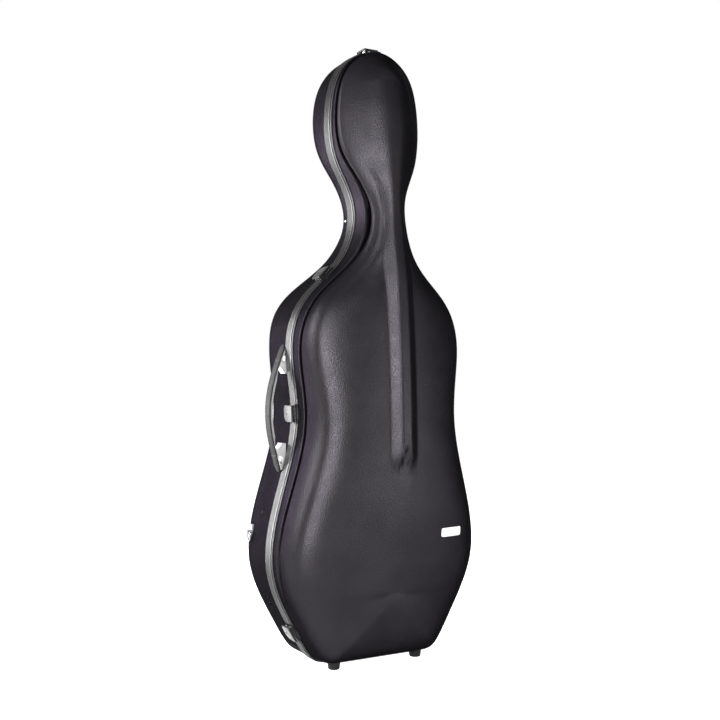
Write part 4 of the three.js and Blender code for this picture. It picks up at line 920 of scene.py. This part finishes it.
def latch_frame(place):
    """The latch's own frame at its place on the rim: x out of the case, y forward, z along the rim."""
    joint = joint_named(f"{place} latch")
    z_axis = Vector(joint["axis"]).normalized()
    x_axis = FORWARD.cross(z_axis).normalized()
    origin = Vector(joint["pos_m"]) - (x_axis * LATCH_PIN[0] + FORWARD * LATCH_PIN[1]) * MM
    return frame_at(origin, x_axis, FORWARD)


def select_where(test, kind="EDGE"):
    """Selects edges or faces of the active mesh by a test on their vertices' places."""
    bpy.ops.mesh.select_mode(type=kind)
    bpy.ops.mesh.select_all(action="DESELECT")
    bpy.ops.object.mode_set(mode="OBJECT")
    mesh = bpy.context.object.data
    for item in (mesh.edges if kind == "EDGE" else mesh.polygons):
        item.select = test([mesh.vertices[v].co for v in item.vertices])
    bpy.ops.object.mode_set(mode="EDIT")


def latch_plate(name, width):
    """A stamped lever plate in millimetres: chamfered tail, rolled nose and open underside."""
    deselect()
    bpy.ops.mesh.primitive_cube_add(size=1)
    piece = bpy.context.object
    piece.name = piece.data.name = name
    x, y = PLATE_MIDDLE
    piece.data.transform(Matrix.Translation((x, y, 0)) @ Matrix.Diagonal((PLATE_THICK, PLATE_LONG, width, 1)))
    for vertex in piece.data.vertices:
        if vertex.co.y < y:
            vertex.co.x -= PLATE_SLOPE if vertex.co.x > x else UNDER_SLOPE
    half = width / 2
    top, nose, tail = x + PLATE_THICK / 2, y + PLATE_LONG / 2, y - PLATE_LONG / 2
    below_top = lambda p: top + (p.y - nose) * PLATE_SLOPE / PLATE_LONG - p.x
    on_side = lambda p: abs(abs(p.z) - half) < .01
    activate(piece)
    bpy.ops.object.mode_set(mode="EDIT")
    select_where(lambda v: all(p.y < tail + 1 for p in v) and abs(v[0].z - v[1].z) < .1)
    bpy.ops.mesh.bevel(offset=TAIL_CHAMFER, segments=1, affect="EDGES", clamp_overlap=False)
    select_where(lambda v: all(p.y > nose - .5 and below_top(p) < 1 for p in v))
    bpy.ops.mesh.bevel(offset=NOSE_ROUND, segments=6, affect="EDGES")
    select_where(lambda v: all(below_top(p) < .7 for p in v)
                 and not (abs(v[0].y - v[1].y) < .01 and v[0].y > nose - 3.5)
                 and (all(on_side(p) for p in v) or all(p.y < tail + TAIL_CHAMFER + .3 for p in v)))
    bpy.ops.mesh.bevel(offset=EDGE_SOFTENING, segments=3, affect="EDGES")
    select_where(lambda v: all(below_top(p) > 3.3 for p in v)
                 and abs((v[1] - v[0]).cross(v[2] - v[0]).normalized().x) > .6, "FACE")
    bpy.ops.mesh.delete(type="FACE")
    bpy.ops.mesh.select_all(action="SELECT")
    face_outward()
    bpy.ops.object.mode_set(mode="OBJECT")
    apply_modifier(piece, "SOLIDIFY", thickness=PLATE_SHEET, offset=-1)
    smooth(35)
    return piece


RIVET_SHARES = ((0, .35), (.4 * .7, .35), (.4, .8), (.65, 1), (.88, .75), (1, .3))
RIVET_ROOT = -.4


def rivet(name, radius, height):
    """A domed rivet head with a small hollow in its middle, standing along x."""
    profile = [(radius * across, height * up) for across, up in RIVET_SHARES]
    profile += [(radius, RIVET_ROOT), (0, RIVET_ROOT)]
    return spun(name, profile, 20)


def spun(name, profile, sides):
    """A turned form from a profile of [radius, height], standing along x."""
    rows = [[(h, r * math.cos(a), r * math.sin(a)) for a in np.linspace(0, 2 * math.pi, sides + 1)]
            for r, h in profile]
    return surface(name, np.array(rows), 38)


def copied(piece, name):
    twin = piece.copy()
    twin.data = piece.data.copy()
    twin.name = twin.data.name = name
    bpy.context.scene.collection.objects.link(twin)
    return twin


class CELLOCASE_OT_latches(bpy.types.Operator):
    """Model the four draw latches: lever plates, rivets, brackets, bails and keepers"""
    bl_idname = "cello_case.latches"
    bl_label = "Draw Latches"

    def execute(self, context):
        plate = latch_plate("latch_plate", settings().trim.latch_width / MM)
        tilt = Matrix.Rotation(math.atan(PLATE_SLOPE / PLATE_LONG), 4, "Z")
        seat = Matrix.Scale(MM, 4) @ Matrix.Translation(RIVET_SEAT) @ tilt @ Matrix.Scale(1 / MM, 4)
        for place in LATCHES:
            local = latch_frame(place)
            body = f"{place} lever"
            lever = moved(copied(plate, f"{place}_lever_plate"), local @ Matrix.Scale(MM, 4))
            finished(lever, "latch", body, "bright_metal", f"{place}_latch_lever")
            stud = moved(rivet(f"{place}_lever_rivet", *RIVET_SIZE), local @ seat)
            finished(stud, "black_steel", body, "black_metal")
            dress(f"{place}_latch_bracket", "strip")
            dress(f"{place}_latch_bail", "latch", .0007, 3)
            dress(f"{place}_latch_keeper", "black_steel")
        bpy.data.objects.remove(plate)
        return {"FINISHED"}


class CELLOCASE_OT_hinges(bpy.types.Operator):
    """Dress the two hinges on the far side"""
    bl_idname = "cello_case.hinges"
    bl_label = "Hinges"

    def execute(self, context):
        for place in ("upper", "lower"):
            dress(f"{place}_hinge_base_leaf", "latch", .0006, 3)
            dress(f"{place}_hinge_lid_leaf", "latch", .0006, 3)
            dress(f"{place}_hinge_pin", "bright", .0005, 3)
        return {"FINISHED"}


# The handle's place, and its band, grip and seams in millimetres
HANDLE_ORIGIN = (-204.93479, 36, 568.8)
HANDLE_OUT = (-.99937, 0, .03546)
STRAP_FOOT, BAND_WIDTH, BAND_HALF, BAND_EXTRA = 3.6, 21, 1.8, .55
END_WIDTH_SHARE, END_SHARE, TONGUE_SHARE, TONGUE_FADE_SHARE = .42, .045, .125, .006
GRIP_SWELL, GRIP_HALF_LENGTH, GRIP_FADE, GRIP_WIDTH_SHARE = 4.3, 84, 26, .44
RIB_HEIGHT, RIB_LENGTH = .35, 7.5
SEAM_SHARE, SEAM_HALF_WIDTH, SEAM_SECTION = .373, .0024, (-.1, 2.55, 9.6)


def handle_arch(t):
    """Height, place along and turn of the handle's middle line at a share of its span."""
    trim = settings().trim
    span, rise = trim.handle_span / MM, trim.handle_rise / MM
    slope = math.pi * rise / span * math.cos(math.pi * t)
    length = math.hypot(1, slope)
    return STRAP_FOOT + rise * math.sin(math.pi * t), (t - .5) * span, 1 / length, -slope / length


def handle_ring(t, section):
    """The section's [outward, y] points set across the handle at t."""
    x, z, nx, nz = handle_arch(t)
    return [(x + nx * off, y, z + nz * off) for off, y in section]


def handle_place():
    return frame_at(Vector(HANDLE_ORIGIN) * MM, HANDLE_OUT, FORWARD)


def band_section(t):
    """The band's section at a share of its span: it narrows at both ends and is thicker between them."""
    end = min(t, 1 - t)
    half = BAND_WIDTH * (END_WIDTH_SHARE + (1 - END_WIDTH_SHARE) * math.sqrt(min(1, end / END_SHARE))) / 2
    thick = BAND_HALF + BAND_EXTRA * float(ease(np.array((TONGUE_SHARE - end) / TONGUE_FADE_SHARE)))
    edge = [(0, 1), (thick - .7, .98), (thick + .05, .93), (thick + .1, .86), (thick - .25, .78)]
    section = [(-BAND_HALF, y * half) for y in np.linspace(-.86, .86, 7)] + [(-1.2, half * .96)]
    section += [(x, half * share) for x, share in edge]
    section += [(thick + .25 * (1 - y * y), -y * half * .72) for y in np.linspace(-1, 1, 7)]
    section += [(x, -half * share) for x, share in edge[::-1]]
    return section + [(-1.2, -half * .96)]


def grip_section(t):
    """The ribbed grip's section at a share of the handle's span, thick in its middle."""
    middle = abs(t - .5) * settings().trim.handle_span / MM
    swell = float(ease(np.array((GRIP_HALF_LENGTH - middle) / GRIP_FADE)))
    thick = 1.5 + GRIP_SWELL * swell + RIB_HEIGHT * math.cos(2 * math.pi * middle / RIB_LENGTH) * swell
    half = BAND_WIDTH * GRIP_WIDTH_SHARE * (.9 + .1 * swell)
    inside = [(-2.1 - thick * (1 - .25 * swell * y * y) + .35 * (1 - abs(math.cos(2 * math.pi * y))),
               y * half) for y in np.linspace(-1, 1, 25)]
    return inside + [(-2.3, half), (-2.1, half * .9), (-2.1, -half * .9), (-2.3, -half)]


def along_handle(name, places, section_at):
    """A piece that follows the handle's arch, with a section at each of its places."""
    rings = [handle_ring(t, section_at(t)) for t in places]
    return moved(surface(name, capped(rings), 38), handle_place())


class CELLOCASE_OT_handle(bpy.types.Operator):
    """Model the side handle: its band, ribbed grip, wedge brackets and pins"""
    bl_idname = "cello_case.handle"
    bl_label = "Handle"

    def execute(self, context):
        places = [0, .004, .012, .025, .045, *np.linspace(.06, .94, 90), .955, .975, .988, .996, 1]
        finished(along_handle("handle_band", places, band_section), "band", "case", "handle", "handle_strap")
        grip = along_handle("handle_grip_pad", np.linspace(.115, .885, 140), grip_section)
        finished(grip, "liner", "case", "grip", "handle_grip")
        low, high, half = SEAM_SECTION
        for place, end in (("upper", 1), ("lower", -1)):
            dress(f"{place}_handle_bracket", "bright", .0006, 3)
            dress(f"{place}_handle_pin", "steel", .0004, 3)
            places = [.5 + end * SEAM_SHARE + d * SEAM_HALF_WIDTH for d in (-1, -.5, .5, 1)]
            seam = along_handle(f"{place}_band_seam", places,
                                lambda t: [(low, -half), (high, -half), (high, half), (low, half)])
            finished(seam, "thread", "case", "handle")
        return {"FINISHED"}


# The strap ring's distance from the case, the round of its corners and its wire's radius, in millimetres
RING_OUT, RING_CORNER, RING_WIRE = 6.3, 2, 1.9


def ring_frame(place):
    """The strap ring's own frame: x out of the case, z up, the ring's bar along y."""
    joint = joint_named(f"{place} ring hinge")
    y_axis = -Vector(joint["axis"]).normalized()
    x_axis = y_axis.cross(Vector((0, 0, 1))).normalized()
    origin = Vector(joint["pos_m"]) - x_axis * RING_OUT * MM
    return frame_at(origin, x_axis, y_axis)


class CELLOCASE_OT_strap_rings(bpy.types.Operator):
    """Model the four strap rings and their plates"""
    bl_idname = "cello_case.strap_rings"
    bl_label = "Strap Rings"

    def execute(self, context):
        radius = settings().trim.ring_width / MM / 2 - RING_CORNER
        corner = RING_CORNER
        drop = -radius * .5
        path = [(RING_OUT, y, 0) for y in np.linspace(-radius + corner, radius - corner, 8)]
        path += [(RING_OUT, radius - corner + corner * math.sin(a), -corner + corner * math.cos(a))
                 for a in np.linspace(.2, math.pi / 2, 5)]
        path += [(RING_OUT, radius * math.cos(a), drop - radius * math.sin(a))
                 for a in np.linspace(0, math.pi, 26)]
        path += [(RING_OUT, -radius + corner - corner * math.cos(a), -corner + corner * math.sin(a))
                 for a in np.linspace(0, math.pi / 2 - .2, 5)]
        for place in ("left lower", "right lower", "left upper", "right upper"):
            key = place.replace(" ", "_")
            ring = moved(tube(f"{key}_wire_ring", path, RING_WIRE), ring_frame(place))
            finished(ring, "steel", place + " ring", "steel", f"{key}_strap_ring")
            dress(f"{key}_ring_plate", "steel", .0006, 3)
        return {"FINISHED"}


class CELLOCASE_OT_feet(bpy.types.Operator):
    """Model the four rubber feet"""
    bl_idname = "cello_case.feet"
    bl_label = "Feet"

    def execute(self, context):
        radius = settings().trim.foot_radius / MM
        profile = [(0, 1.1), (4.4, 1.1), (5, .3), (8, 0), (radius - 3.4, 0), (radius - 2.2, .5),
                   (radius - 1.4, 1.6), (radius - .8, 5), (radius - .9, 5.8), (radius - .5, 6.4),
                   (radius, 14), (radius, 19)]
        for half, body in (("lid", "lid"), ("base", "case")):
            for hand in ("left", "right"):
                node = f"{half}_{hand}_foot"
                low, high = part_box(node)
                middle = (low + high) / 2
                top = (high.z / MM) - .5
                shaped = [(r, min(h, top)) for r, h in profile] + [(0, top)]
                foot = spun(f"{half}_{hand}_stud", shaped, 40)
                moved(foot, frame_at((middle.x, middle.y, 0), (0, 0, 1), (1, 0, 0)))
                finished(foot, "rubber", body, "rubber", node)
        return {"FINISHED"}


# The cushions and the cradle, in millimetres: thickness, sewn channels with their place, and seams
CUSHION_THICKNESS, CHANNEL_DEPTH, CHANNEL_AT, CHANNEL_WIDTH = 17, 1.6, .36, .035
SEAM_DEPTH, SEAM_AT, SEAM_WIDTH = .9, -.45, .1
CUSHION_SINK = 2


def middle_and_half(node):
    """The middle of a node's box and half its size, in millimetres."""
    low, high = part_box(node)
    return (low + high) / 2 / MM, (high - low) / 2 / MM


def wall_cushion(name, node, hand):
    """A cushion that lies against the lining's wall, crowned on its inner face."""
    side = -1 if hand == "left" else 1
    middle, half = middle_and_half(node)
    swell = settings().padding.swell / MM
    rings = []
    for v in np.linspace(-1, 1, 31):
        z = middle.z + v * half.z
        pinch = max(0.0, 1 - abs(v) ** 8) ** .35
        wall = half_width_at(z) - WALL - GAP - LINING - DRAFT * middle.y
        ring = []
        for angle in np.linspace(0, 2 * math.pi, 49):
            across, deep = squared_circle(angle, 6)
            y = middle.y + deep * half.y * (.93 + .07 * pinch)
            front = max(0.0, -across)
            crown = swell * front * (1 - deep ** 2) * (1 - v ** 2)
            beside = (abs(v) - CHANNEL_AT) / CHANNEL_WIDTH
            channel = CHANNEL_DEPTH * front * math.exp(-beside ** 2) * (1 - deep ** 4)
            on_edge = abs(deep) > .75 or abs(v) > .85
            seam = SEAM_DEPTH * math.exp(-((across - SEAM_AT) / SEAM_WIDTH) ** 2) * on_edge
            depth = (CUSHION_THICKNESS * (1 - across) / 2) * (.25 + .75 * pinch) + crown - channel - seam
            bow = DRAFT * (y - middle.y)
            ring.append((side * (wall + CUSHION_SINK - bow - depth), y, z))
        rings.append(ring)
    return surface(name, with_ends(np.array(rings)), 70)


class CELLOCASE_OT_cushions(bpy.types.Operator):
    """Model the four cushions on the walls of the base"""
    bl_idname = "cello_case.cushions"
    bl_label = "Wall Cushions"

    def execute(self, context):
        for place in ("upper", "lower"):
            for hand in ("left", "right"):
                node = f"{place}_{hand}_cushion"
                piece = wall_cushion(f"{place}_{hand}_pad", node, hand)
                finished(piece, "velour", "case", "padding", node)
        return {"FINISHED"}


# The end block's spike hollow: radius, and depths below its rolled rim with the radius's share there
HOLLOW_RADIUS, HOLLOW_RIM, HOLLOW_DROP = 15, 3.2, 3
HOLLOW_FLOOR = ((-8, .98), (-16, .9), (-21, .6), (-22, .2), (-22, 0))
BLOCK_POINTS = 97


class CELLOCASE_OT_end_block(bpy.types.Operator):
    """Model the padded block with its hollow for the spike"""
    bl_idname = "cello_case.end_block"
    bl_label = "End Block"

    def execute(self, context):
        middle, half = middle_and_half("end_block")
        angles = np.linspace(0, 2 * math.pi, BLOCK_POINTS)
        rings = []
        for v in [*np.linspace(-1, .8, 12), .9, .96, 1]:
            pull = (1 - max(0, v) ** 7) ** .4 if v < 1 else 0
            seam = .8 * math.exp(-((v - .55) / .07) ** 2)
            ring = []
            for angle in angles:
                across, deep = squared_circle(angle, 5)
                scale = (.9 + .1 * pull) * (1 - .04 * (math.cos(angle) * math.sin(angle)) ** 2)
                ring.append((middle.x + across * (half.x * scale - seam),
                             middle.y + deep * (half.y * scale - seam), middle.z + v * half.z * .96))
            rings.append(ring)
        rim = np.array(rings[-1])
        round_hole = np.stack([np.cos(angles), np.sin(angles)], 1) * HOLLOW_RADIUS
        hole_middle = np.array([0, middle.y])
        for t in np.linspace(.1, 1, 14):
            ring = rim.copy()
            ring[:, :2] = rim[:, :2] * (1 - t) + (hole_middle + round_hole) * t
            ring[:, 2] += HOLLOW_RIM * math.sin(math.pi * t) ** .8 - HOLLOW_DROP * max(0, t - .9) / .1
            rings.append(ring)
        for drop, share in HOLLOW_FLOOR:
            level = np.full((BLOCK_POINTS, 1), rim[0, 2] + drop)
            rings.append(np.hstack([hole_middle + round_hole * share, level]))
        table = np.array([np.array(ring) for ring in rings])
        bottom = np.broadcast_to(table[0][:-1].mean(0), table[0].shape)
        piece = surface("spike_block", np.concatenate([[bottom], table]), 60)
        finished(piece, "velour", "case", "padding", "end_block")
        return {"FINISHED"}


# The neck cradle's notch, lips and corners, and the strap's arch, lift and thickness, in millimetres
NECK_HOLLOW, NOTCH_FLOOR, CRADLE_LIP, CRADLE_CORNER, CRADLE_PULL = 18, 20, 3, 17, 3.5
STRAP_ARCH, STRAP_LIFT, STRAP_WEAVE, STRAP_THICKNESS = 3.4, 4.2, .25, 1.9


def cradle_section(z, front, back, v):
    """The neck cradle's section at a height: a block against the lining with a rounded notch."""
    inset = CRADLE_PULL * (1 - max(0.0, 1 - abs(v) ** 9) ** .4)
    side = half_width_at(z) - WALL - 2 * GAP - LINING - DRAFT * front + 1 - inset
    seam = .8 * math.exp(-((abs(v) - .8) / .035) ** 2)
    hollow = NECK_HOLLOW - 1.5 * (1 - v * v) + inset * .6 + seam
    corner = min(CRADLE_CORNER, side * .5)
    lip = CRADLE_LIP
    near = front + inset
    points = [(-side * .995, near + 12), (-side, near + lip)]
    points += [(-side + lip * (1 - math.cos(a)), near + lip * (1 - math.sin(a)))
               for a in np.linspace(.3, math.pi / 2, 5)]
    points += [(-hollow - lip * math.cos(a), near + lip * (1 - math.sin(a)))
               for a in np.linspace(math.pi / 2, .3, 5)]
    points += [(hollow * math.cos(a), front + NOTCH_FLOOR - hollow * math.sin(a))
               for a in np.linspace(math.pi, 2 * math.pi, 25)]
    points += [(-x, y) for x, y in points[11::-1]]
    reach = side - DRAFT * (back - front) * .7
    points += [(reach - corner * (1 - math.cos(a)), back - inset - corner * (1 - math.sin(a)))
               for a in np.linspace(0, math.pi / 2, 8)]
    points += [(-x, y) for x, y in points[-8:][::-1]]
    return [(x, y, z) for x, y in points]


class CELLOCASE_OT_neck_rest(bpy.types.Operator):
    """Model the padded neck cradle and the strap across it"""
    bl_idname = "cello_case.neck_rest"
    bl_label = "Neck Rest"

    def execute(self, context):
        middle, half = middle_and_half("neck_cradle")
        front, back = middle.y - half.y, middle.y + half.y
        rings = [cradle_section(middle.z + v * half.z, front, back, v) for v in np.linspace(-1, 1, 41)]
        cradle = surface("neck_pad", capped(rings), 60)
        keep_inside(cradle, "base_moulding", 1)
        finished(cradle, "velour", "case", "padding", "neck_cradle")
        low, high = (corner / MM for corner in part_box("neck_strap"))
        rows = []
        for t in np.linspace(-1, 1, 41):
            y = low.y + STRAP_LIFT - STRAP_ARCH * (1 - abs(t) ** 3)
            rows.append([(t * high.x, y + (STRAP_WEAVE if k % 2 else 0), z)
                         for k, z in enumerate(np.linspace(low.z, high.z, 25))])
        strap = surface("neck_band", np.array(rows), 60)
        activate(strap)
        apply_modifier(strap, "SOLIDIFY", thickness=STRAP_THICKNESS * MM, offset=0)
        smooth(40)
        finished(strap, "webbing", "case", "webbing", "neck_strap")
        return {"FINISHED"}


class CELLOCASE_OT_bow_holders(bpy.types.Operator):
    """Dress the two bow holders in the lid"""
    bl_idname = "cello_case.bow_holders"
    bl_label = "Bow Holders"

    def execute(self, context):
        for hand in ("left", "right"):
            dress(f"{hand}_bow_post", "black_steel", .0006, 3)
            dress(f"{hand}_bow_button", "black_steel", .0009, 3)
        return {"FINISHED"}


# The camera in metres and radians, its lens and sensor in millimetres, and the picture's width in pixels
CAMERA_PLACE = (-1.5497, -2.2586, .6756)
CAMERA_TURN, CAMERA_ROLL = math.radians(-34), math.radians(.413)
LENS, SENSOR, PICTURE = 60.7, 36, 720

# The name plate and the small studs: sizes in millimetres, places in the picture's pixels
PLATE_PIXEL, PLATE_LENGTH, PLATE_HEIGHT = (450.9, 531.5), 60, 20
PLATES = (("name_plate_border", 1, .7, "black_steel", "black_metal"),
          ("name_plate", 0, 1.3, "plate", "bright_metal"))
PLATE_ROOT = -1.2
STUDS = (("neck_rivet", (345.5, 221.3), (2.3, 1.1), "bright", "bright_metal"),
         ("side_stud", (262.5, 512), (1.7, .7), "black_steel", "black_metal"))


def camera_matrix():
    return (Matrix.Translation(CAMERA_PLACE) @ Matrix.Rotation(CAMERA_TURN, 4, "Z")
            @ Matrix.Rotation(math.pi / 2, 4, "X") @ Matrix.Rotation(CAMERA_ROLL, 4, "Z"))


def seen_at(pixel, piece_name):
    """The point of a piece that the camera sees at a picture place, and its outward direction."""
    half = PICTURE / 2
    reach = SENSOR / LENS / PICTURE
    matrix = camera_matrix()
    ray = matrix.to_3x3() @ Vector(((pixel[0] - half) * reach, (half - pixel[1]) * reach, -1))
    hit, point, normal, _ = bpy.data.objects[piece_name].ray_cast(matrix.translation, ray.normalized())
    if not hit:
        raise RuntimeError(f"Nothing of {piece_name} is seen at {pixel}")
    return point, normal


def lid_face(x, z):
    """The lid's outer face at a place across and up: its point and outward direction, in metres."""
    moulding = bpy.data.objects["lid_moulding"]
    hit, point, normal, _ = moulding.ray_cast(Vector((x * MM, -1, z * MM)), Vector((0, 1, 0)))
    if not hit:
        raise RuntimeError("The name plate's place is off the lid")
    return point, normal


class CELLOCASE_OT_name_plate(bpy.types.Operator):
    """Model the bare name plate on the lid and the two small studs on the base's side"""
    bl_idname = "cello_case.name_plate"
    bl_label = "Name Plate"

    def execute(self, context):
        point, normal = seen_at(PLATE_PIXEL, "lid_moulding")
        upward = Vector((0, 0, 1))
        across = upward.cross(normal).normalized()
        across *= 1 if across.x > 0 else -1
        for name, grow, lift, material, slot_name in PLATES:
            half_length, half_height = PLATE_LENGTH / 2 + grow, PLATE_HEIGHT / 2 + grow
            table = []
            for scale, rise in ((0, lift), (.5, lift), (.9, lift), (.97, lift - .05), (1, lift - .35),
                                (1, PLATE_ROOT)):
                ring = []
                for angle in np.linspace(0, 2 * math.pi, 65):
                    c, s = squared_circle(angle, 9)
                    p = across * (c * scale * half_length) + upward * (s * scale * half_height)
                    on_face, out = lid_face(point.x / MM + p.x, point.z / MM + p.z)
                    ring.append(tuple((on_face + out * rise * MM) / MM))
                table.append(ring)
            finished(surface(name, np.array(table), 40), material, "lid", slot_name)
        for name, pixel, size, material, slot_name in STUDS:
            point, normal = seen_at(pixel, "base_moulding")
            stud = moved(rivet(name, *size), frame_at(point, normal, (0, 0, 1)))
            finished(stud, material, "case", slot_name)
        return {"FINISHED"}


# The lights: place in metres, width, height and the setting that holds the power
LIGHT_TARGET = (0, 0, .7)
LIGHTS = (("Key", (-2.66, .2, 1.65), .7, 1.4, "key_power"),
          ("Front", (-1.63, -2.55, 1), .5, 1.6, "fill_power"),
          ("Right Front", (1.34, -2.32, .45), .7, .9, "rim_power"),
          ("Back", (-1.67, 1.99, .85), .8, 1.7, "back_power"),
          ("Right", (2.6, -.2, .45), .5, .8, "side_power"))
FLOOR_SIZE, FLOOR_GLOW = 24, .92


def area_light(name, place, wide, tall, power):
    light = bpy.data.lights.new(name, "AREA")
    light.energy = power
    light.shape = "RECTANGLE"
    light.size = wide
    light.size_y = tall
    lamp = bpy.data.objects.new(name, light)
    bpy.context.scene.collection.objects.link(lamp)
    lamp.location = place
    aim = Vector(LIGHT_TARGET) - Vector(place)
    lamp.rotation_euler = aim.to_track_quat("-Z", "Y").to_euler()


def brighter_when_seen(tree, plain, seen_level, socket):
    """Gives a strength socket one level for the camera, mirrors and glass, and another for all else."""
    path = tree.nodes.new("ShaderNodeLightPath")
    seen = path.outputs["Is Camera Ray"]
    for ray in ("Is Glossy Ray", "Is Transmission Ray"):
        add = tree.nodes.new("ShaderNodeMath")
        add.operation = "MAXIMUM"
        tree.links.new(seen, add.inputs[0])
        tree.links.new(path.outputs[ray], add.inputs[1])
        seen = add.outputs[0]
    level = tree.nodes.new("ShaderNodeMapRange")
    level.inputs["To Min"].default_value = plain
    level.inputs["To Max"].default_value = seen_level
    tree.links.new(seen, level.inputs["Value"])
    tree.links.new(level.outputs["Result"], socket)


def floor_finish(colour):
    """A pale matt floor that shows near white from above and keeps the case's shadow."""
    material = bpy.data.materials.new("studio_floor")
    material.use_nodes = True
    tree = material.node_tree
    shader = next(n for n in tree.nodes if n.type == "BSDF_PRINCIPLED")
    shader.inputs["Base Color"].default_value = (*colour, 1)
    shader.inputs["Roughness"].default_value = .8
    shader.inputs["Specular IOR Level"].default_value = .1
    shader.inputs["Emission Color"].default_value = (1, 1, 1, 1)
    brighter_when_seen(tree, 0, FLOOR_GLOW, shader.inputs["Emission Strength"])
    return material


class CELLOCASE_OT_studio(bpy.types.Operator):
    """Set up the camera, the lights, the floor and the white surroundings"""
    bl_idname = "cello_case.studio"
    bl_label = "Studio"

    def execute(self, context):
        studio = settings().studio
        scene = context.scene
        camera = bpy.data.objects.new("Camera", bpy.data.cameras.new("Camera"))
        scene.collection.objects.link(camera)
        camera.data.lens = LENS
        camera.data.sensor_width = SENSOR
        camera.matrix_world = camera_matrix()
        scene.camera = camera
        for name, place, wide, tall, power in LIGHTS:
            area_light(name, place, wide, tall, getattr(studio, power))
        world = scene.world or bpy.data.worlds.new("World")
        scene.world = world
        world.use_nodes = True
        background = next(n for n in world.node_tree.nodes if n.type == "BACKGROUND")
        background.inputs["Color"].default_value = (1, 1, 1, 1)
        brighter_when_seen(world.node_tree, studio.world_level, 1, background.inputs["Strength"])
        deselect()
        bpy.ops.mesh.primitive_plane_add(size=FLOOR_SIZE, location=(0, 0, 0))
        floor = context.object
        floor.name = "floor"
        floor.data.materials.append(floor_finish(tuple(studio.floor_colour)))
        scene.view_settings.view_transform = "Standard"
        return {"FINISHED"}


OPERATORS = (
    CELLOCASE_OT_shells, CELLOCASE_OT_linings, CELLOCASE_OT_rims, CELLOCASE_OT_latches, CELLOCASE_OT_hinges,
    CELLOCASE_OT_handle, CELLOCASE_OT_strap_rings, CELLOCASE_OT_feet, CELLOCASE_OT_cushions,
    CELLOCASE_OT_end_block, CELLOCASE_OT_neck_rest, CELLOCASE_OT_bow_holders, CELLOCASE_OT_name_plate,
    CELLOCASE_OT_studio,
)


class CELLOCASE_PT_panel(bpy.types.Panel):
    """Lists the cello case's settings and pieces"""
    bl_idname = "CELLOCASE_PT_panel"
    bl_label = "Cello Case"
    bl_space_type = "VIEW_3D"
    bl_region_type = "UI"
    bl_category = "Cello Case"

    def draw(self, context):
        for group in (settings().shell, settings().trim, settings().padding, settings().studio):
            box = self.layout.box()
            for key in group.__annotations__:
                box.prop(group, key)
        for operator in OPERATORS:
            self.layout.operator(operator.bl_idname)


CLASSES = (CaseShellSettings, CaseTrimSettings, CasePaddingSettings, CaseStudioSettings, CelloCaseSettings,
           *OPERATORS, CELLOCASE_PT_panel)


def register():
    for each in CLASSES:
        bpy.utils.register_class(each)
    bpy.types.Scene.cello_case = bpy.props.PointerProperty(type=CelloCaseSettings)


def unregister():
    del bpy.types.Scene.cello_case
    for each in reversed(CLASSES):
        bpy.utils.unregister_class(each)


def main():
    register()
    for operator in OPERATORS:
        group, name = operator.bl_idname.split(".")
        getattr(getattr(bpy.ops, group), name)()


if __name__ == "__main__":
    main()
